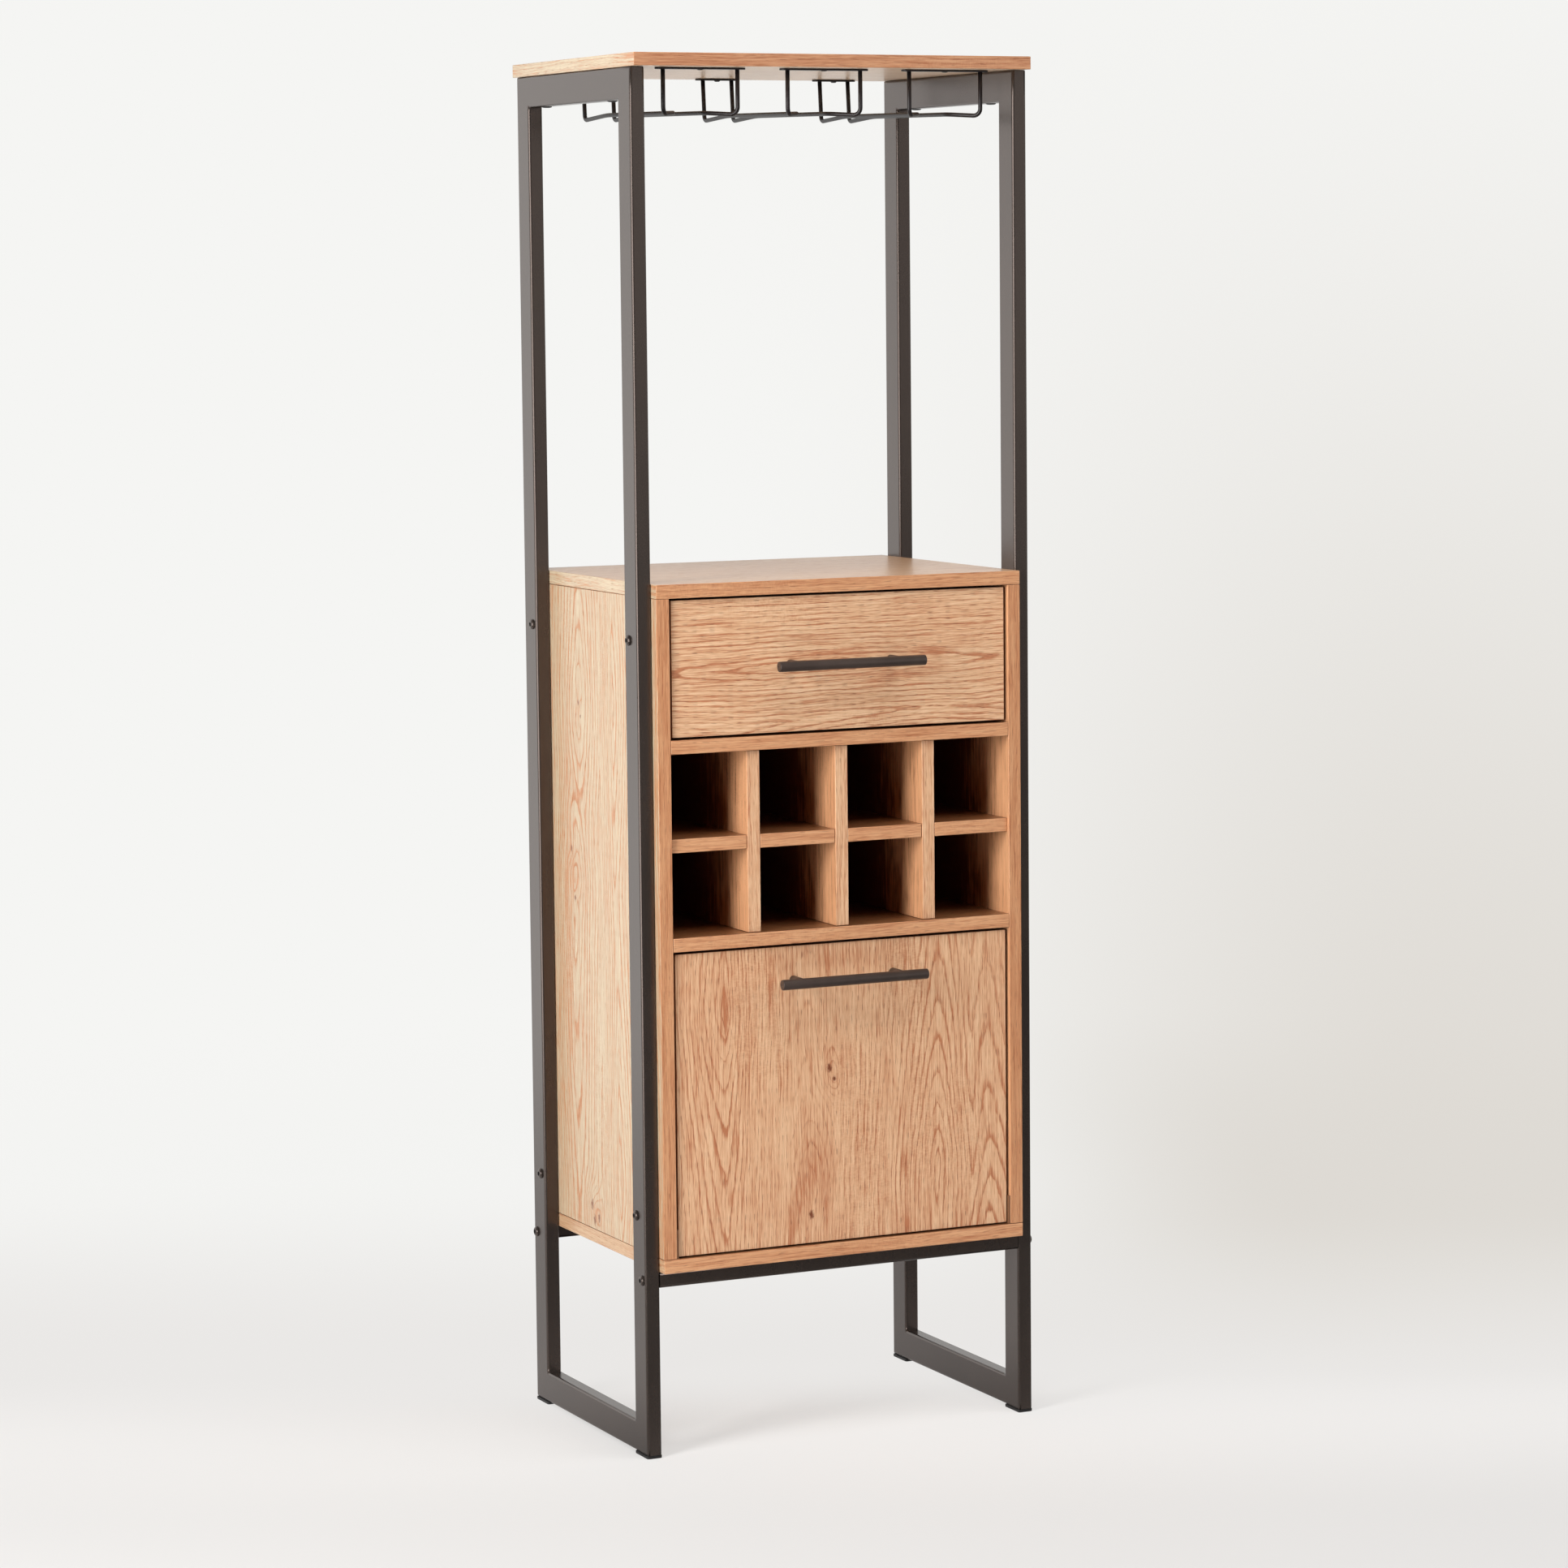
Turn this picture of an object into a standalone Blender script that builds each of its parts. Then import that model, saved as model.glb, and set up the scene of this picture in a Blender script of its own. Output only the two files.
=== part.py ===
"""Tall bar cabinet: two welded steel side frames carry an oak board cabinet and a top board.

The cabinet holds a drawer on side runners, a grid of bottle cells and a drop-down flap on
end pivots with a braked sliding stay. Three wire rails for stemmed glasses hang under the
top board. Metres, +Z up, the front faces -Y, and the origin is on the floor under the middle
of the whole object's box.
"""

import math

import bmesh
import bpy
from mathutils import Matrix, Vector

# Fits between neighbouring pieces
SEAT_GAP = 0.0003
RUNNING_GAP = 0.0004
CUT_OVERRUN = 0.002
MERGE_DISTANCE = 0.00001

# Steel side frames
FRAME_WIDTH = 0.500
FRAME_DEPTH = 0.336
OVERALL_HEIGHT = 1.600
TUBE_THICKNESS = 0.018
TUBE_FACE = 0.036
TUBE_WALL = 0.0012
TUBE_RADIUS = 0.0025
TUBE_CORNER_STEPS = 3

# Crossbars under the cabinet
CROSSBAR_SIZE = 0.018
CROSSBAR_END_PLATE = 0.003

# Plastic feet in the open lower ends of the posts
FOOT_THICKNESS = 0.0032
FOOT_PROUD = 0.0004
FOOT_PLUG_LENGTH = 0.012

# Top board
TOP_THICKNESS = 0.015
TOP_OVERHANG = 0.012

# Cabinet boards
CABINET_UNDERSIDE = 0.2165
CABINET_HEIGHT = 0.789
CABINET_OVERHANG = 0.013
BOARD_THICKNESS = 0.016
EDGE_EASE = 0.0006
FRONT_RECESS = 0.004
DRAWER_BAY_HEIGHT = 0.161
BOTTLE_BAY_HEIGHT = 0.210
BOTTLE_COLUMNS = 4

# Back panel, let into grooves
BACK_THICKNESS = 0.003
BACK_INSET = 0.008
GROOVE_DEPTH = 0.005

# Drawer
DRAWER_SIDE_GAP = 0.0035
DRAWER_EDGE_GAP = 0.0025
DRAWER_WALL = 0.012
DRAWER_REAR_GAP = 0.020
DRAWER_HEAD_GAP = 0.029
DRAWER_BOX_LIFT = 0.012
DRAWER_BOTTOM_THICKNESS = 0.003
DRAWER_BOTTOM_LIFT = 0.008

# Drawer runners
RUNNER_SPACE = 0.0127
RUNNER_METAL = 0.0012
RUNNER_HEIGHT = 0.035
RUNNER_SETBACK = 0.003
RUNNER_LIFT = 0.040

# Bar handles
HANDLE_LENGTH = 0.186
HANDLE_SPACING = 0.128
HANDLE_BAR_RADIUS = 0.006
HANDLE_POST_RADIUS = 0.005
HANDLE_STANDOFF = 0.032
HANDLE_CHAMFER = 0.0008
FLAP_HANDLE_DROP = 0.0395

# Flap and its end pivots
FLAP_SIDE_GAP = 0.0035
FLAP_HEAD_GAP = 0.003
PIVOT_RISE = 0.021
PIVOT_PIN_RADIUS = 0.003
PIVOT_PIN_LENGTH = 0.011
PIVOT_PLATE_THICKNESS = 0.002
PIVOT_PLATE_WIDTH = 0.022
CATCH_WIDTH = 0.040
CATCH_DEPTH = 0.014
CATCH_HEIGHT = 0.012

# Braked sliding stay of the flap
STAY_SWEEP = math.radians(40.0)
STAY_OPENING = math.radians(90.0)
STAY_ROD_RADIUS = 0.0025
STAY_PIN_RADIUS = 0.003
STAY_PIN_LENGTH = 0.006
STAY_PLATE_THICKNESS = 0.002
STAY_PLATE_LENGTH = 0.040
STAY_PLATE_WIDTH = 0.022
STAY_WEB = 0.001
STAY_HOUSING_LENGTH = 0.026
STAY_HOUSING_HEIGHT = 0.016
STAY_HOUSING_WALL = 0.002
STAY_EYE_RADIUS = 0.006
STAY_EYE_WIDTH = 0.0056
STAY_EYE_STANDOFF = 0.012
STAY_REAR_GAP = 0.025
STAY_COLLAR_RADIUS = 0.0045
STAY_COLLAR_LENGTH = 0.005
STAY_RIVET_RADIUS = 0.0045
STAY_RIVET_HEIGHT = 0.0015

# Wire rails for stemmed glasses
RAIL_COUNT = 3
RAIL_WIRE_RADIUS = 0.0025
RAIL_DROP = 0.0525
RAIL_MOUTH = 0.092
RAIL_SLOT = 0.0375
RAIL_INSET = 0.0205
RAIL_FUNNEL = 0.030
RAIL_REAR_LEAN = 0.004
RAIL_FRONT_BEND = 0.008
RAIL_FUNNEL_BEND = 0.025
RAIL_REAR_BEND = 0.006
STRAP_OVERHANG = 0.0095
STRAP_WIDTH = 0.012
STRAP_THICKNESS = 0.002

# Socket head bolts through the posts
BOLT_SHANK_RADIUS = 0.003
BOLT_HOLE_CLEARANCE = 0.0003
BOLT_HEAD_RADIUS = 0.006
BOLT_HEAD_HEIGHT = 0.0033
BOLT_SOCKET_RADIUS = 0.0023
BOLT_SOCKET_DEPTH = 0.0018
BOLT_BITE = 0.011
BOLT_EDGE_INSET = 0.024
BOLT_END_INSET = 0.064

# Roundness of turned pieces
BOLT_STEPS = 12
HANDLE_STEPS = 20
PIN_STEPS = 16
DOME_STEPS = 3
BEND_STEPS = 4

# Places that follow from the sizes above. Y is measured from the middle of the whole box.
FRONT_REACH = FRAME_DEPTH / 2 + CABINET_OVERHANG - FRONT_RECESS + HANDLE_STANDOFF + HANDLE_BAR_RADIUS
REAR_REACH = FRAME_DEPTH / 2 + max(CABINET_OVERHANG, TOP_OVERHANG)
FRAME_Y = (FRONT_REACH - REAR_REACH) / 2
FRAME_FRONT = FRAME_Y - FRAME_DEPTH / 2
FRAME_REAR = FRAME_Y + FRAME_DEPTH / 2
FRAME_BOTTOM = FOOT_THICKNESS + SEAT_GAP
TOP_UNDERSIDE = OVERALL_HEIGHT - TOP_THICKNESS
FRAME_TOP = TOP_UNDERSIDE - SEAT_GAP
POST_OUTER = FRAME_WIDTH / 2
POST_INNER = POST_OUTER - TUBE_THICKNESS

CABINET_FRONT = FRAME_FRONT - CABINET_OVERHANG
CABINET_REAR = FRAME_REAR + CABINET_OVERHANG
CABINET_TOP = CABINET_UNDERSIDE + CABINET_HEIGHT
CABINET_HALF = POST_INNER - SEAT_GAP
INNER_HALF = CABINET_HALF - BOARD_THICKNESS
FLOOR_Z = CABINET_UNDERSIDE + BOARD_THICKNESS
CEILING_Z = CABINET_TOP - BOARD_THICKNESS
UPPER_SHELF_TOP = CEILING_Z - DRAWER_BAY_HEIGHT
UPPER_SHELF_UNDERSIDE = UPPER_SHELF_TOP - BOARD_THICKNESS
LOWER_SHELF_TOP = UPPER_SHELF_UNDERSIDE - BOTTLE_BAY_HEIGHT
LOWER_SHELF_UNDERSIDE = LOWER_SHELF_TOP - BOARD_THICKNESS
PANEL_FRONT = CABINET_FRONT + FRONT_RECESS
PANEL_BACK = PANEL_FRONT + BOARD_THICKNESS
BACK_REAR = CABINET_REAR - BACK_INSET - SEAT_GAP
BACK_FRONT = BACK_REAR - BACK_THICKNESS
SHELF_REAR = BACK_FRONT - SEAT_GAP
CROSSBAR_TOP = CABINET_UNDERSIDE - SEAT_GAP
CROSSBAR_Z = CROSSBAR_TOP - CROSSBAR_SIZE / 2

DRAWER_FRONT_BOTTOM = UPPER_SHELF_TOP + DRAWER_EDGE_GAP
DRAWER_FRONT_TOP = CEILING_Z - DRAWER_EDGE_GAP
DRAWER_HALF = INNER_HALF - RUNNER_SPACE
DRAWER_BOX_BOTTOM = UPPER_SHELF_TOP + DRAWER_BOX_LIFT
DRAWER_BOX_TOP = CEILING_Z - DRAWER_HEAD_GAP
DRAWER_BOX_FRONT = PANEL_BACK + SEAT_GAP
DRAWER_BOX_REAR = SHELF_REAR - DRAWER_REAR_GAP
DRAWER_FLOOR = DRAWER_BOX_BOTTOM + DRAWER_BOTTOM_LIFT
RUNNER_FLANGE = RUNNER_SPACE - 2 * SEAT_GAP - RUNNER_METAL - RUNNING_GAP
RUNNER_Z = DRAWER_BOX_BOTTOM + RUNNER_LIFT
RUNNER_START = DRAWER_BOX_FRONT + RUNNER_SETBACK
RUNNER_LENGTH = DRAWER_BOX_REAR - RUNNER_SETBACK - RUNNER_START
RUNNER_Y = RUNNER_START + RUNNER_LENGTH / 2

# The flap's lower corners sweep a circle about the pivot that just clears the cabinet's floor
FLAP_HALF = INNER_HALF - FLAP_SIDE_GAP
PIVOT_Y = PANEL_FRONT + BOARD_THICKNESS / 2
PIVOT_Z = FLOOR_Z + SEAT_GAP + math.hypot(PIVOT_RISE, BOARD_THICKNESS / 2)
FLAP_BOTTOM = PIVOT_Z - PIVOT_RISE
FLAP_TOP = LOWER_SHELF_UNDERSIDE - FLAP_HEAD_GAP

# Both ends of the stay lie on one circle about the flap's pivot, so that the rod turns by
# exactly half of the flap's angle (the inscribed angle). The circle is as large as the
# cabinet's depth lets the rod be, which reaches through the housing with the flap open.
EYE_BACK = BOARD_THICKNESS / 2 + STAY_EYE_STANDOFF
STAY_TAIL = STAY_HOUSING_LENGTH / 2 + RUNNING_GAP + STAY_COLLAR_LENGTH
STAY_OPEN_SHARE = 2 * math.sin((STAY_SWEEP + STAY_OPENING) / 2)
STAY_REACH = (SHELF_REAR - STAY_REAR_GAP - PIVOT_Y - EYE_BACK - STAY_TAIL) / STAY_OPEN_SHARE
EYE_TILT = math.asin(EYE_BACK / STAY_REACH)
EYE_Y = PIVOT_Y + EYE_BACK
EYE_Z = PIVOT_Z + STAY_REACH * math.cos(EYE_TILT)
SWIVEL_TILT = EYE_TILT + STAY_SWEEP
SWIVEL_Y = PIVOT_Y + STAY_REACH * math.sin(SWIVEL_TILT)
SWIVEL_Z = PIVOT_Z + STAY_REACH * math.cos(SWIVEL_TILT)
STAY_SLOPE = -(EYE_TILT + STAY_SWEEP / 2)
STAY_ROD_END = STAY_REACH * STAY_OPEN_SHARE + STAY_TAIL
STAY_PLATE_FACE = INNER_HALF - SEAT_GAP - STAY_PLATE_THICKNESS
STAY_ROD_X = (
    STAY_PLATE_FACE - STAY_PIN_LENGTH - RUNNING_GAP - STAY_WEB - STAY_ROD_RADIUS - RUNNING_GAP
)

RAIL_PITCH = 2 * POST_INNER / RAIL_COUNT
RAIL_FRONT = FRAME_FRONT + RAIL_INSET
RAIL_REAR = FRAME_REAR - RAIL_INSET
STRAP_Z = TOP_UNDERSIDE - SEAT_GAP - STRAP_THICKNESS / 2
WIRE_Z = TOP_UNDERSIDE - RAIL_DROP

SIDES = (("left", -1), ("right", 1))
ENDS = (("front", -1), ("rear", 1))


def clear_scene():
    for obj in list(bpy.data.objects):
        bpy.data.objects.remove(obj, do_unlink=True)


def new_collection(name):
    group = bpy.data.collections.new(name)
    bpy.context.scene.collection.children.link(group)
    return group


def finish(name, colour, roughness, metallic):
    material = bpy.data.materials.new(name)
    material.use_nodes = True
    shader = material.node_tree.nodes["Principled BSDF"]
    shader.inputs["Base Color"].default_value = (*colour, 1.0)
    shader.inputs["Roughness"].default_value = roughness
    shader.inputs["Metallic"].default_value = metallic
    material.diffuse_color = (*colour, 1.0)
    return material


clear_scene()
PARTS = new_collection("tall_bar_cabinet")
CUTTERS = new_collection("cutters")
CUTTERS.hide_render = True
POWDER_COAT = finish("charcoal_powder_coat", (0.050, 0.047, 0.044), 0.45, 0.3)
OAK_BOARD = finish("oak_effect_board", (0.60, 0.38, 0.21), 0.55, 0.0)
HARDBOARD = finish("dark_hardboard", (0.05, 0.04, 0.035), 0.7, 0.0)
BLACK_PLASTIC = finish("black_plastic", (0.02, 0.02, 0.02), 0.5, 0.0)
HANDLE_COAT = finish("handle_coat", (0.045, 0.042, 0.038), 0.4, 0.4)
BOLT_BLACK = finish("black_bolt_steel", (0.09, 0.088, 0.085), 0.4, 0.6)
ZINC_STEEL = finish("zinc_plated_steel", (0.55, 0.55, 0.54), 0.35, 1.0)


def add_object(name, mesh, material, location=(0, 0, 0)):
    obj = bpy.data.objects.new(name, mesh)
    obj.location = location
    if not mesh.materials:
        mesh.materials.append(material)
    PARTS.objects.link(obj)
    return obj


def as_cutter(obj):
    """Makes the object a helper that only cuts or joins others."""
    PARTS.objects.unlink(obj)
    CUTTERS.objects.link(obj)
    obj.hide_render = True
    obj.display_type = "WIRE"
    return obj


def mesh_from(name, bm):
    mesh = bpy.data.meshes.new(name)
    bm.to_mesh(mesh)
    bm.free()
    return mesh


def smooth(mesh):
    mesh.shade_smooth()
    mesh.set_sharp_from_angle(angle=math.radians(40.0))
    return mesh


def box(name, xs, ys, zs, material, radius=0.0, round_axis=None, steps=1):
    """A box between two limits on each axis. With a radius, the edges along round_axis are rounded."""
    low = Vector((xs[0], ys[0], zs[0]))
    high = Vector((xs[1], ys[1], zs[1]))
    bm = bmesh.new()
    bmesh.ops.create_cube(bm, size=1.0)
    bmesh.ops.scale(bm, vec=high - low, verts=bm.verts)
    if radius > 0.0:
        along = [e for e in bm.edges if abs((e.verts[0].co - e.verts[1].co).normalized()[round_axis]) > 0.5]
        bmesh.ops.bevel(bm, geom=along, offset=radius, segments=steps, profile=0.5, affect="EDGES")
    return add_object(name, mesh_from(name, bm), material, (low + high) / 2)


def board(name, xs, ys, zs):
    """An oak-effect board with its edges eased."""
    obj = box(name, xs, ys, zs, OAK_BOARD)
    ease = obj.modifiers.new("eased_edges", "BEVEL")
    ease.width = EDGE_EASE
    ease.segments = 1
    ease.limit_method = "ANGLE"
    return obj


def cylinder(name, axis, start, end, radius, material, steps=PIN_STEPS):
    """A cylinder along X, Y or Z between two points that differ on that axis."""
    start, end = Vector(start), Vector(end)
    turn = {"X": ("Y", 1), "Y": ("X", -1), "Z": ("Z", 1)}[axis]
    bm = bmesh.new()
    bmesh.ops.create_cone(
        bm, cap_ends=True, segments=steps, radius1=radius, radius2=radius, depth=(end - start).length
    )
    if axis != "Z":
        bmesh.ops.rotate(bm, verts=bm.verts, matrix=Matrix.Rotation(turn[1] * math.pi / 2, 3, turn[0]))
    return add_object(name, smooth(mesh_from(name, bm)), material, (start + end) / 2)


def apply_boolean(target, other, operation):
    modifier = target.modifiers.new(f"{operation.lower()}_{other.name}", "BOOLEAN")
    modifier.operation = operation
    modifier.solver = "EXACT"
    modifier.object = as_cutter(other)


def cut(target, *others):
    for other in others:
        apply_boolean(target, other, "DIFFERENCE")
    return target


def fuse(target, *others):
    for other in others:
        apply_boolean(target, other, "UNION")
    return target


def baked_mesh(obj, name):
    """The object's evaluated mesh in its own space, welded, with the object and its helpers removed."""
    bpy.context.view_layer.update()
    graph = bpy.context.evaluated_depsgraph_get()
    mesh = bpy.data.meshes.new_from_object(obj.evaluated_get(graph))
    mesh.name = name
    bm = bmesh.new()
    bm.from_mesh(mesh)
    bmesh.ops.remove_doubles(bm, verts=bm.verts, dist=MERGE_DISTANCE)
    bm.to_mesh(mesh)
    bm.free()
    helpers = [m.object for m in obj.modifiers if m.type == "BOOLEAN"]
    for used in (obj, *helpers):
        bpy.data.objects.remove(used, do_unlink=True)
    return mesh


def joint_empty(name, location):
    """An empty on a joint's axis that carries the pieces which move about it."""
    empty = bpy.data.objects.new(name, None)
    empty.location = location
    empty.empty_display_size = HANDLE_STANDOFF
    PARTS.objects.link(empty)
    return empty


def carry(empty, *pieces):
    """Parents the pieces, and the helpers that shape them, to the empty without moving them."""
    for piece in pieces:
        helpers = [m.object for m in piece.modifiers if m.type == "BOOLEAN"]
        for obj in (piece, *helpers):
            obj.parent = empty
            obj.location = obj.location - empty.location


def flat_outline(name, points, thickness, material):
    """A closed outline in local XY, filled and given a thickness along local Z."""
    curve = bpy.data.curves.new(name, "CURVE")
    curve.dimensions = "2D"
    curve.fill_mode = "BOTH"
    curve.extrude = thickness / 2
    spline = curve.splines.new("POLY")
    spline.points.add(len(points) - 1)
    for spot, (x, y) in zip(spline.points, points):
        spot.co = (x, y, 0.0, 1.0)
    spline.use_cyclic_u = True
    return add_object(name, curve, material)


def wire(name, points, radius, material):
    """A round wire along the points, with flat closed ends."""
    curve = bpy.data.curves.new(name, "CURVE")
    curve.dimensions = "3D"
    curve.bevel_depth = radius
    curve.bevel_resolution = 2
    curve.use_fill_caps = True
    spline = curve.splines.new("POLY")
    spline.points.add(len(points) - 1)
    for spot, point in zip(spline.points, points):
        spot.co = (*point, 1.0)
    obj = add_object(name, curve, material)
    return add_object(name, smooth(baked_mesh(obj, name)), material)


def rounded_path(corners, radii):
    """The corner points as a path whose inner corners are arcs of the given radii."""
    path = [corners[0]]
    for before, corner, after, radius in zip(corners, corners[1:], corners[2:], radii):
        inward = (corner - before).normalized()
        outward = (after - corner).normalized()
        turn = inward.angle(outward)
        start = corner - inward * radius * math.tan(turn / 2)
        centre = corner + (outward - inward).normalized() * radius / math.cos(turn / 2)
        axis = inward.cross(outward).normalized()
        for step in range(BEND_STEPS + 1):
            spin = Matrix.Rotation(turn * step / BEND_STEPS, 3, axis)
            path.append(centre + spin @ (start - centre))
    path.append(corners[-1])
    return path


def tube(name, xs, ys, zs, along):
    """A hollow steel tube with rounded corners and open ends. along is the axis number it runs on."""
    outer = box(name, xs, ys, zs, POWDER_COAT, TUBE_RADIUS, along, TUBE_CORNER_STEPS)
    smooth(outer.data)
    limits = [
        (low - CUT_OVERRUN, high + CUT_OVERRUN) if axis == along else (low + TUBE_WALL, high - TUBE_WALL)
        for axis, (low, high) in enumerate((xs, ys, zs))
    ]
    return cut(outer, box(f"{name}_bore", *limits, POWDER_COAT))


def post_places():
    """Each corner post as its name, its side's sign, its end's sign and its limits in Y."""
    for side, side_sign in SIDES:
        for end, end_sign in ENDS:
            outer = FRAME_Y + end_sign * FRAME_DEPTH / 2
            inner = outer - end_sign * TUBE_FACE
            yield f"{side}_{end}", side_sign, end_sign, tuple(sorted((outer, inner)))


def span(sign, near, far):
    """Two limits on one side of the middle, in rising order."""
    return tuple(sorted((sign * near, sign * far)))


def bolt_places(end_sign):
    """Name and (y, z) of each bolt through the post at this end."""
    cabinet_y = FRAME_Y + end_sign * (FRAME_DEPTH / 2 - BOLT_EDGE_INSET)
    crossbar_y = FRAME_Y + end_sign * (FRAME_DEPTH / 2 - CROSSBAR_SIZE / 2)
    return (
        ("upper", cabinet_y, CABINET_TOP - BOLT_END_INSET),
        ("lower", cabinet_y, CABINET_UNDERSIDE + BOLT_END_INSET),
        ("crossbar", crossbar_y, CROSSBAR_Z),
    )


def bolt_hole(name, xs, y, z):
    radius = BOLT_SHANK_RADIUS + BOLT_HOLE_CLEARANCE
    return cylinder(name, "X", (xs[0], y, z), (xs[1], y, z), radius, POWDER_COAT, BOLT_STEPS)


def make_posts():
    for name, side_sign, end_sign, ys in post_places():
        xs = span(side_sign, POST_INNER, POST_OUTER)
        post = tube(f"{name}_post", xs, ys, (FRAME_BOTTOM, FRAME_TOP), 2)
        through = span(side_sign, POST_INNER - CUT_OVERRUN, POST_OUTER + CUT_OVERRUN)
        for place, y, z in bolt_places(end_sign):
            cut(post, bolt_hole(f"{name}_post_{place}_hole", through, y, z))


def make_rails():
    ys = (FRAME_FRONT + TUBE_FACE + SEAT_GAP, FRAME_REAR - TUBE_FACE - SEAT_GAP)
    for side, sign in SIDES:
        xs = span(sign, POST_INNER, POST_OUTER)
        tube(f"{side}_top_rail", xs, ys, (FRAME_TOP - TUBE_FACE, FRAME_TOP), 1)
        tube(f"{side}_bottom_rail", xs, ys, (FRAME_BOTTOM, FRAME_BOTTOM + TUBE_FACE), 1)


def make_crossbars():
    """Square tubes between the side frames, closed by threaded end plates."""
    half = POST_INNER - SEAT_GAP
    zs = (CROSSBAR_TOP - CROSSBAR_SIZE, CROSSBAR_TOP)
    hollow = half - CROSSBAR_END_PLATE
    for end, sign in ENDS:
        outer = FRAME_Y + sign * FRAME_DEPTH / 2
        ys = tuple(sorted((outer, outer - sign * CROSSBAR_SIZE)))
        name = f"{end}_crossbar"
        bar = box(name, (-half, half), ys, zs, POWDER_COAT, TUBE_RADIUS, 0, TUBE_CORNER_STEPS)
        smooth(bar.data)
        inside = [(low + TUBE_WALL, high - TUBE_WALL) for low, high in (ys, zs)]
        through = (-half - CUT_OVERRUN, half + CUT_OVERRUN)
        cut(
            bar,
            box(f"{name}_bore", (-hollow, hollow), *inside, POWDER_COAT),
            bolt_hole(f"{name}_thread", through, sum(ys) / 2, CROSSBAR_Z),
        )


def make_feet():
    plug_gap = TUBE_WALL + SEAT_GAP
    for name, side_sign, _, (y0, y1) in post_places():
        x0, x1 = span(side_sign, POST_INNER, POST_OUTER)
        cap = box(
            f"{name}_foot",
            (x0 - FOOT_PROUD, x1 + FOOT_PROUD),
            (y0 - FOOT_PROUD, y1 + FOOT_PROUD),
            (0, FOOT_THICKNESS),
            BLACK_PLASTIC,
            TUBE_RADIUS,
            2,
            TUBE_CORNER_STEPS,
        )
        smooth(cap.data)
        plug = box(
            f"{name}_plug",
            (x0 + plug_gap, x1 - plug_gap),
            (y0 + plug_gap, y1 - plug_gap),
            (FOOT_THICKNESS / 2, FOOT_THICKNESS + FOOT_PLUG_LENGTH),
            BLACK_PLASTIC,
        )
        fuse(cap, plug)


def bolt_mesh():
    """A button head bolt along local Z with its head's seat at zero and a hexagonal socket."""
    length = TUBE_THICKNESS + SEAT_GAP + BOLT_BITE
    dome = [
        (BOLT_HEAD_RADIUS * math.sin(angle), BOLT_HEAD_HEIGHT * math.cos(angle))
        for angle in (math.pi / 2 * step / DOME_STEPS for step in range(DOME_STEPS + 1))
    ]
    shank = [(BOLT_SHANK_RADIUS, 0.0), (BOLT_SHANK_RADIUS, -length), (0.0, -length)]
    bm = bmesh.new()
    spots = [bm.verts.new((x, 0.0, z)) for x, z in dome + shank]
    for first, second in zip(spots, spots[1:]):
        bm.edges.new((first, second))
    obj = add_object("bolt_blank", mesh_from("bolt_blank", bm), BOLT_BLACK)
    turned = obj.modifiers.new("turned", "SCREW")
    turned.axis = "Z"
    turned.steps = BOLT_STEPS
    turned.render_steps = BOLT_STEPS
    turned.use_merge_vertices = True
    turned.merge_threshold = MERGE_DISTANCE
    socket_floor = (0, 0, BOLT_HEAD_HEIGHT - BOLT_SOCKET_DEPTH)
    socket_mouth = (0, 0, BOLT_HEAD_HEIGHT + CUT_OVERRUN)
    cut(obj, cylinder("bolt_socket", "Z", socket_floor, socket_mouth, BOLT_SOCKET_RADIUS, BOLT_BLACK, 6))
    return smooth(baked_mesh(obj, "button_head_bolt"))


def make_bolts():
    mesh = bolt_mesh()
    for name, side_sign, end_sign, _ in post_places():
        for place, y, z in bolt_places(end_sign):
            seat = side_sign * (POST_OUTER + SEAT_GAP)
            bolt = add_object(f"bolt_{name}_{place}", mesh, BOLT_BLACK, (seat, y, z))
            bolt.rotation_euler = (0.0, side_sign * math.pi / 2, 0.0)


def stadium(length, width):
    """Outline of a flat strap with round ends, along local X."""
    centre = length / 2 - width / 2
    points = []
    for sign, start in ((1, -math.pi / 2), (-1, math.pi / 2)):
        for step in range(BEND_STEPS + 1):
            angle = start + math.pi * step / BEND_STEPS
            points.append((sign * centre + width / 2 * math.cos(angle), width / 2 * math.sin(angle)))
    return points


def strap(name, spread, y):
    outline = stadium(spread + 2 * STRAP_OVERHANG, STRAP_WIDTH)
    flat = flat_outline(name, outline, STRAP_THICKNESS, POWDER_COAT)
    return add_object(name, baked_mesh(flat, name), POWDER_COAT, (0.0, y, STRAP_Z))


def rail_wire(name, sign):
    """One wire of a rail: down from the front strap, in through the funnel, back along the slot and up."""
    mouth = sign * RAIL_MOUTH / 2
    slot = sign * RAIL_SLOT / 2
    foot_y = RAIL_REAR - RAIL_REAR_LEAN
    corners = [
        Vector((mouth, RAIL_FRONT, STRAP_Z)),
        Vector((mouth, RAIL_FRONT, WIRE_Z)),
        Vector((slot, RAIL_FRONT + RAIL_FUNNEL, WIRE_Z)),
        Vector((slot, foot_y, WIRE_Z)),
        Vector((slot, RAIL_REAR, STRAP_Z)),
    ]
    bends = (RAIL_FRONT_BEND, RAIL_FUNNEL_BEND, RAIL_REAR_BEND)
    return wire(name, rounded_path(corners, bends), RAIL_WIRE_RADIUS, POWDER_COAT)


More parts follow.
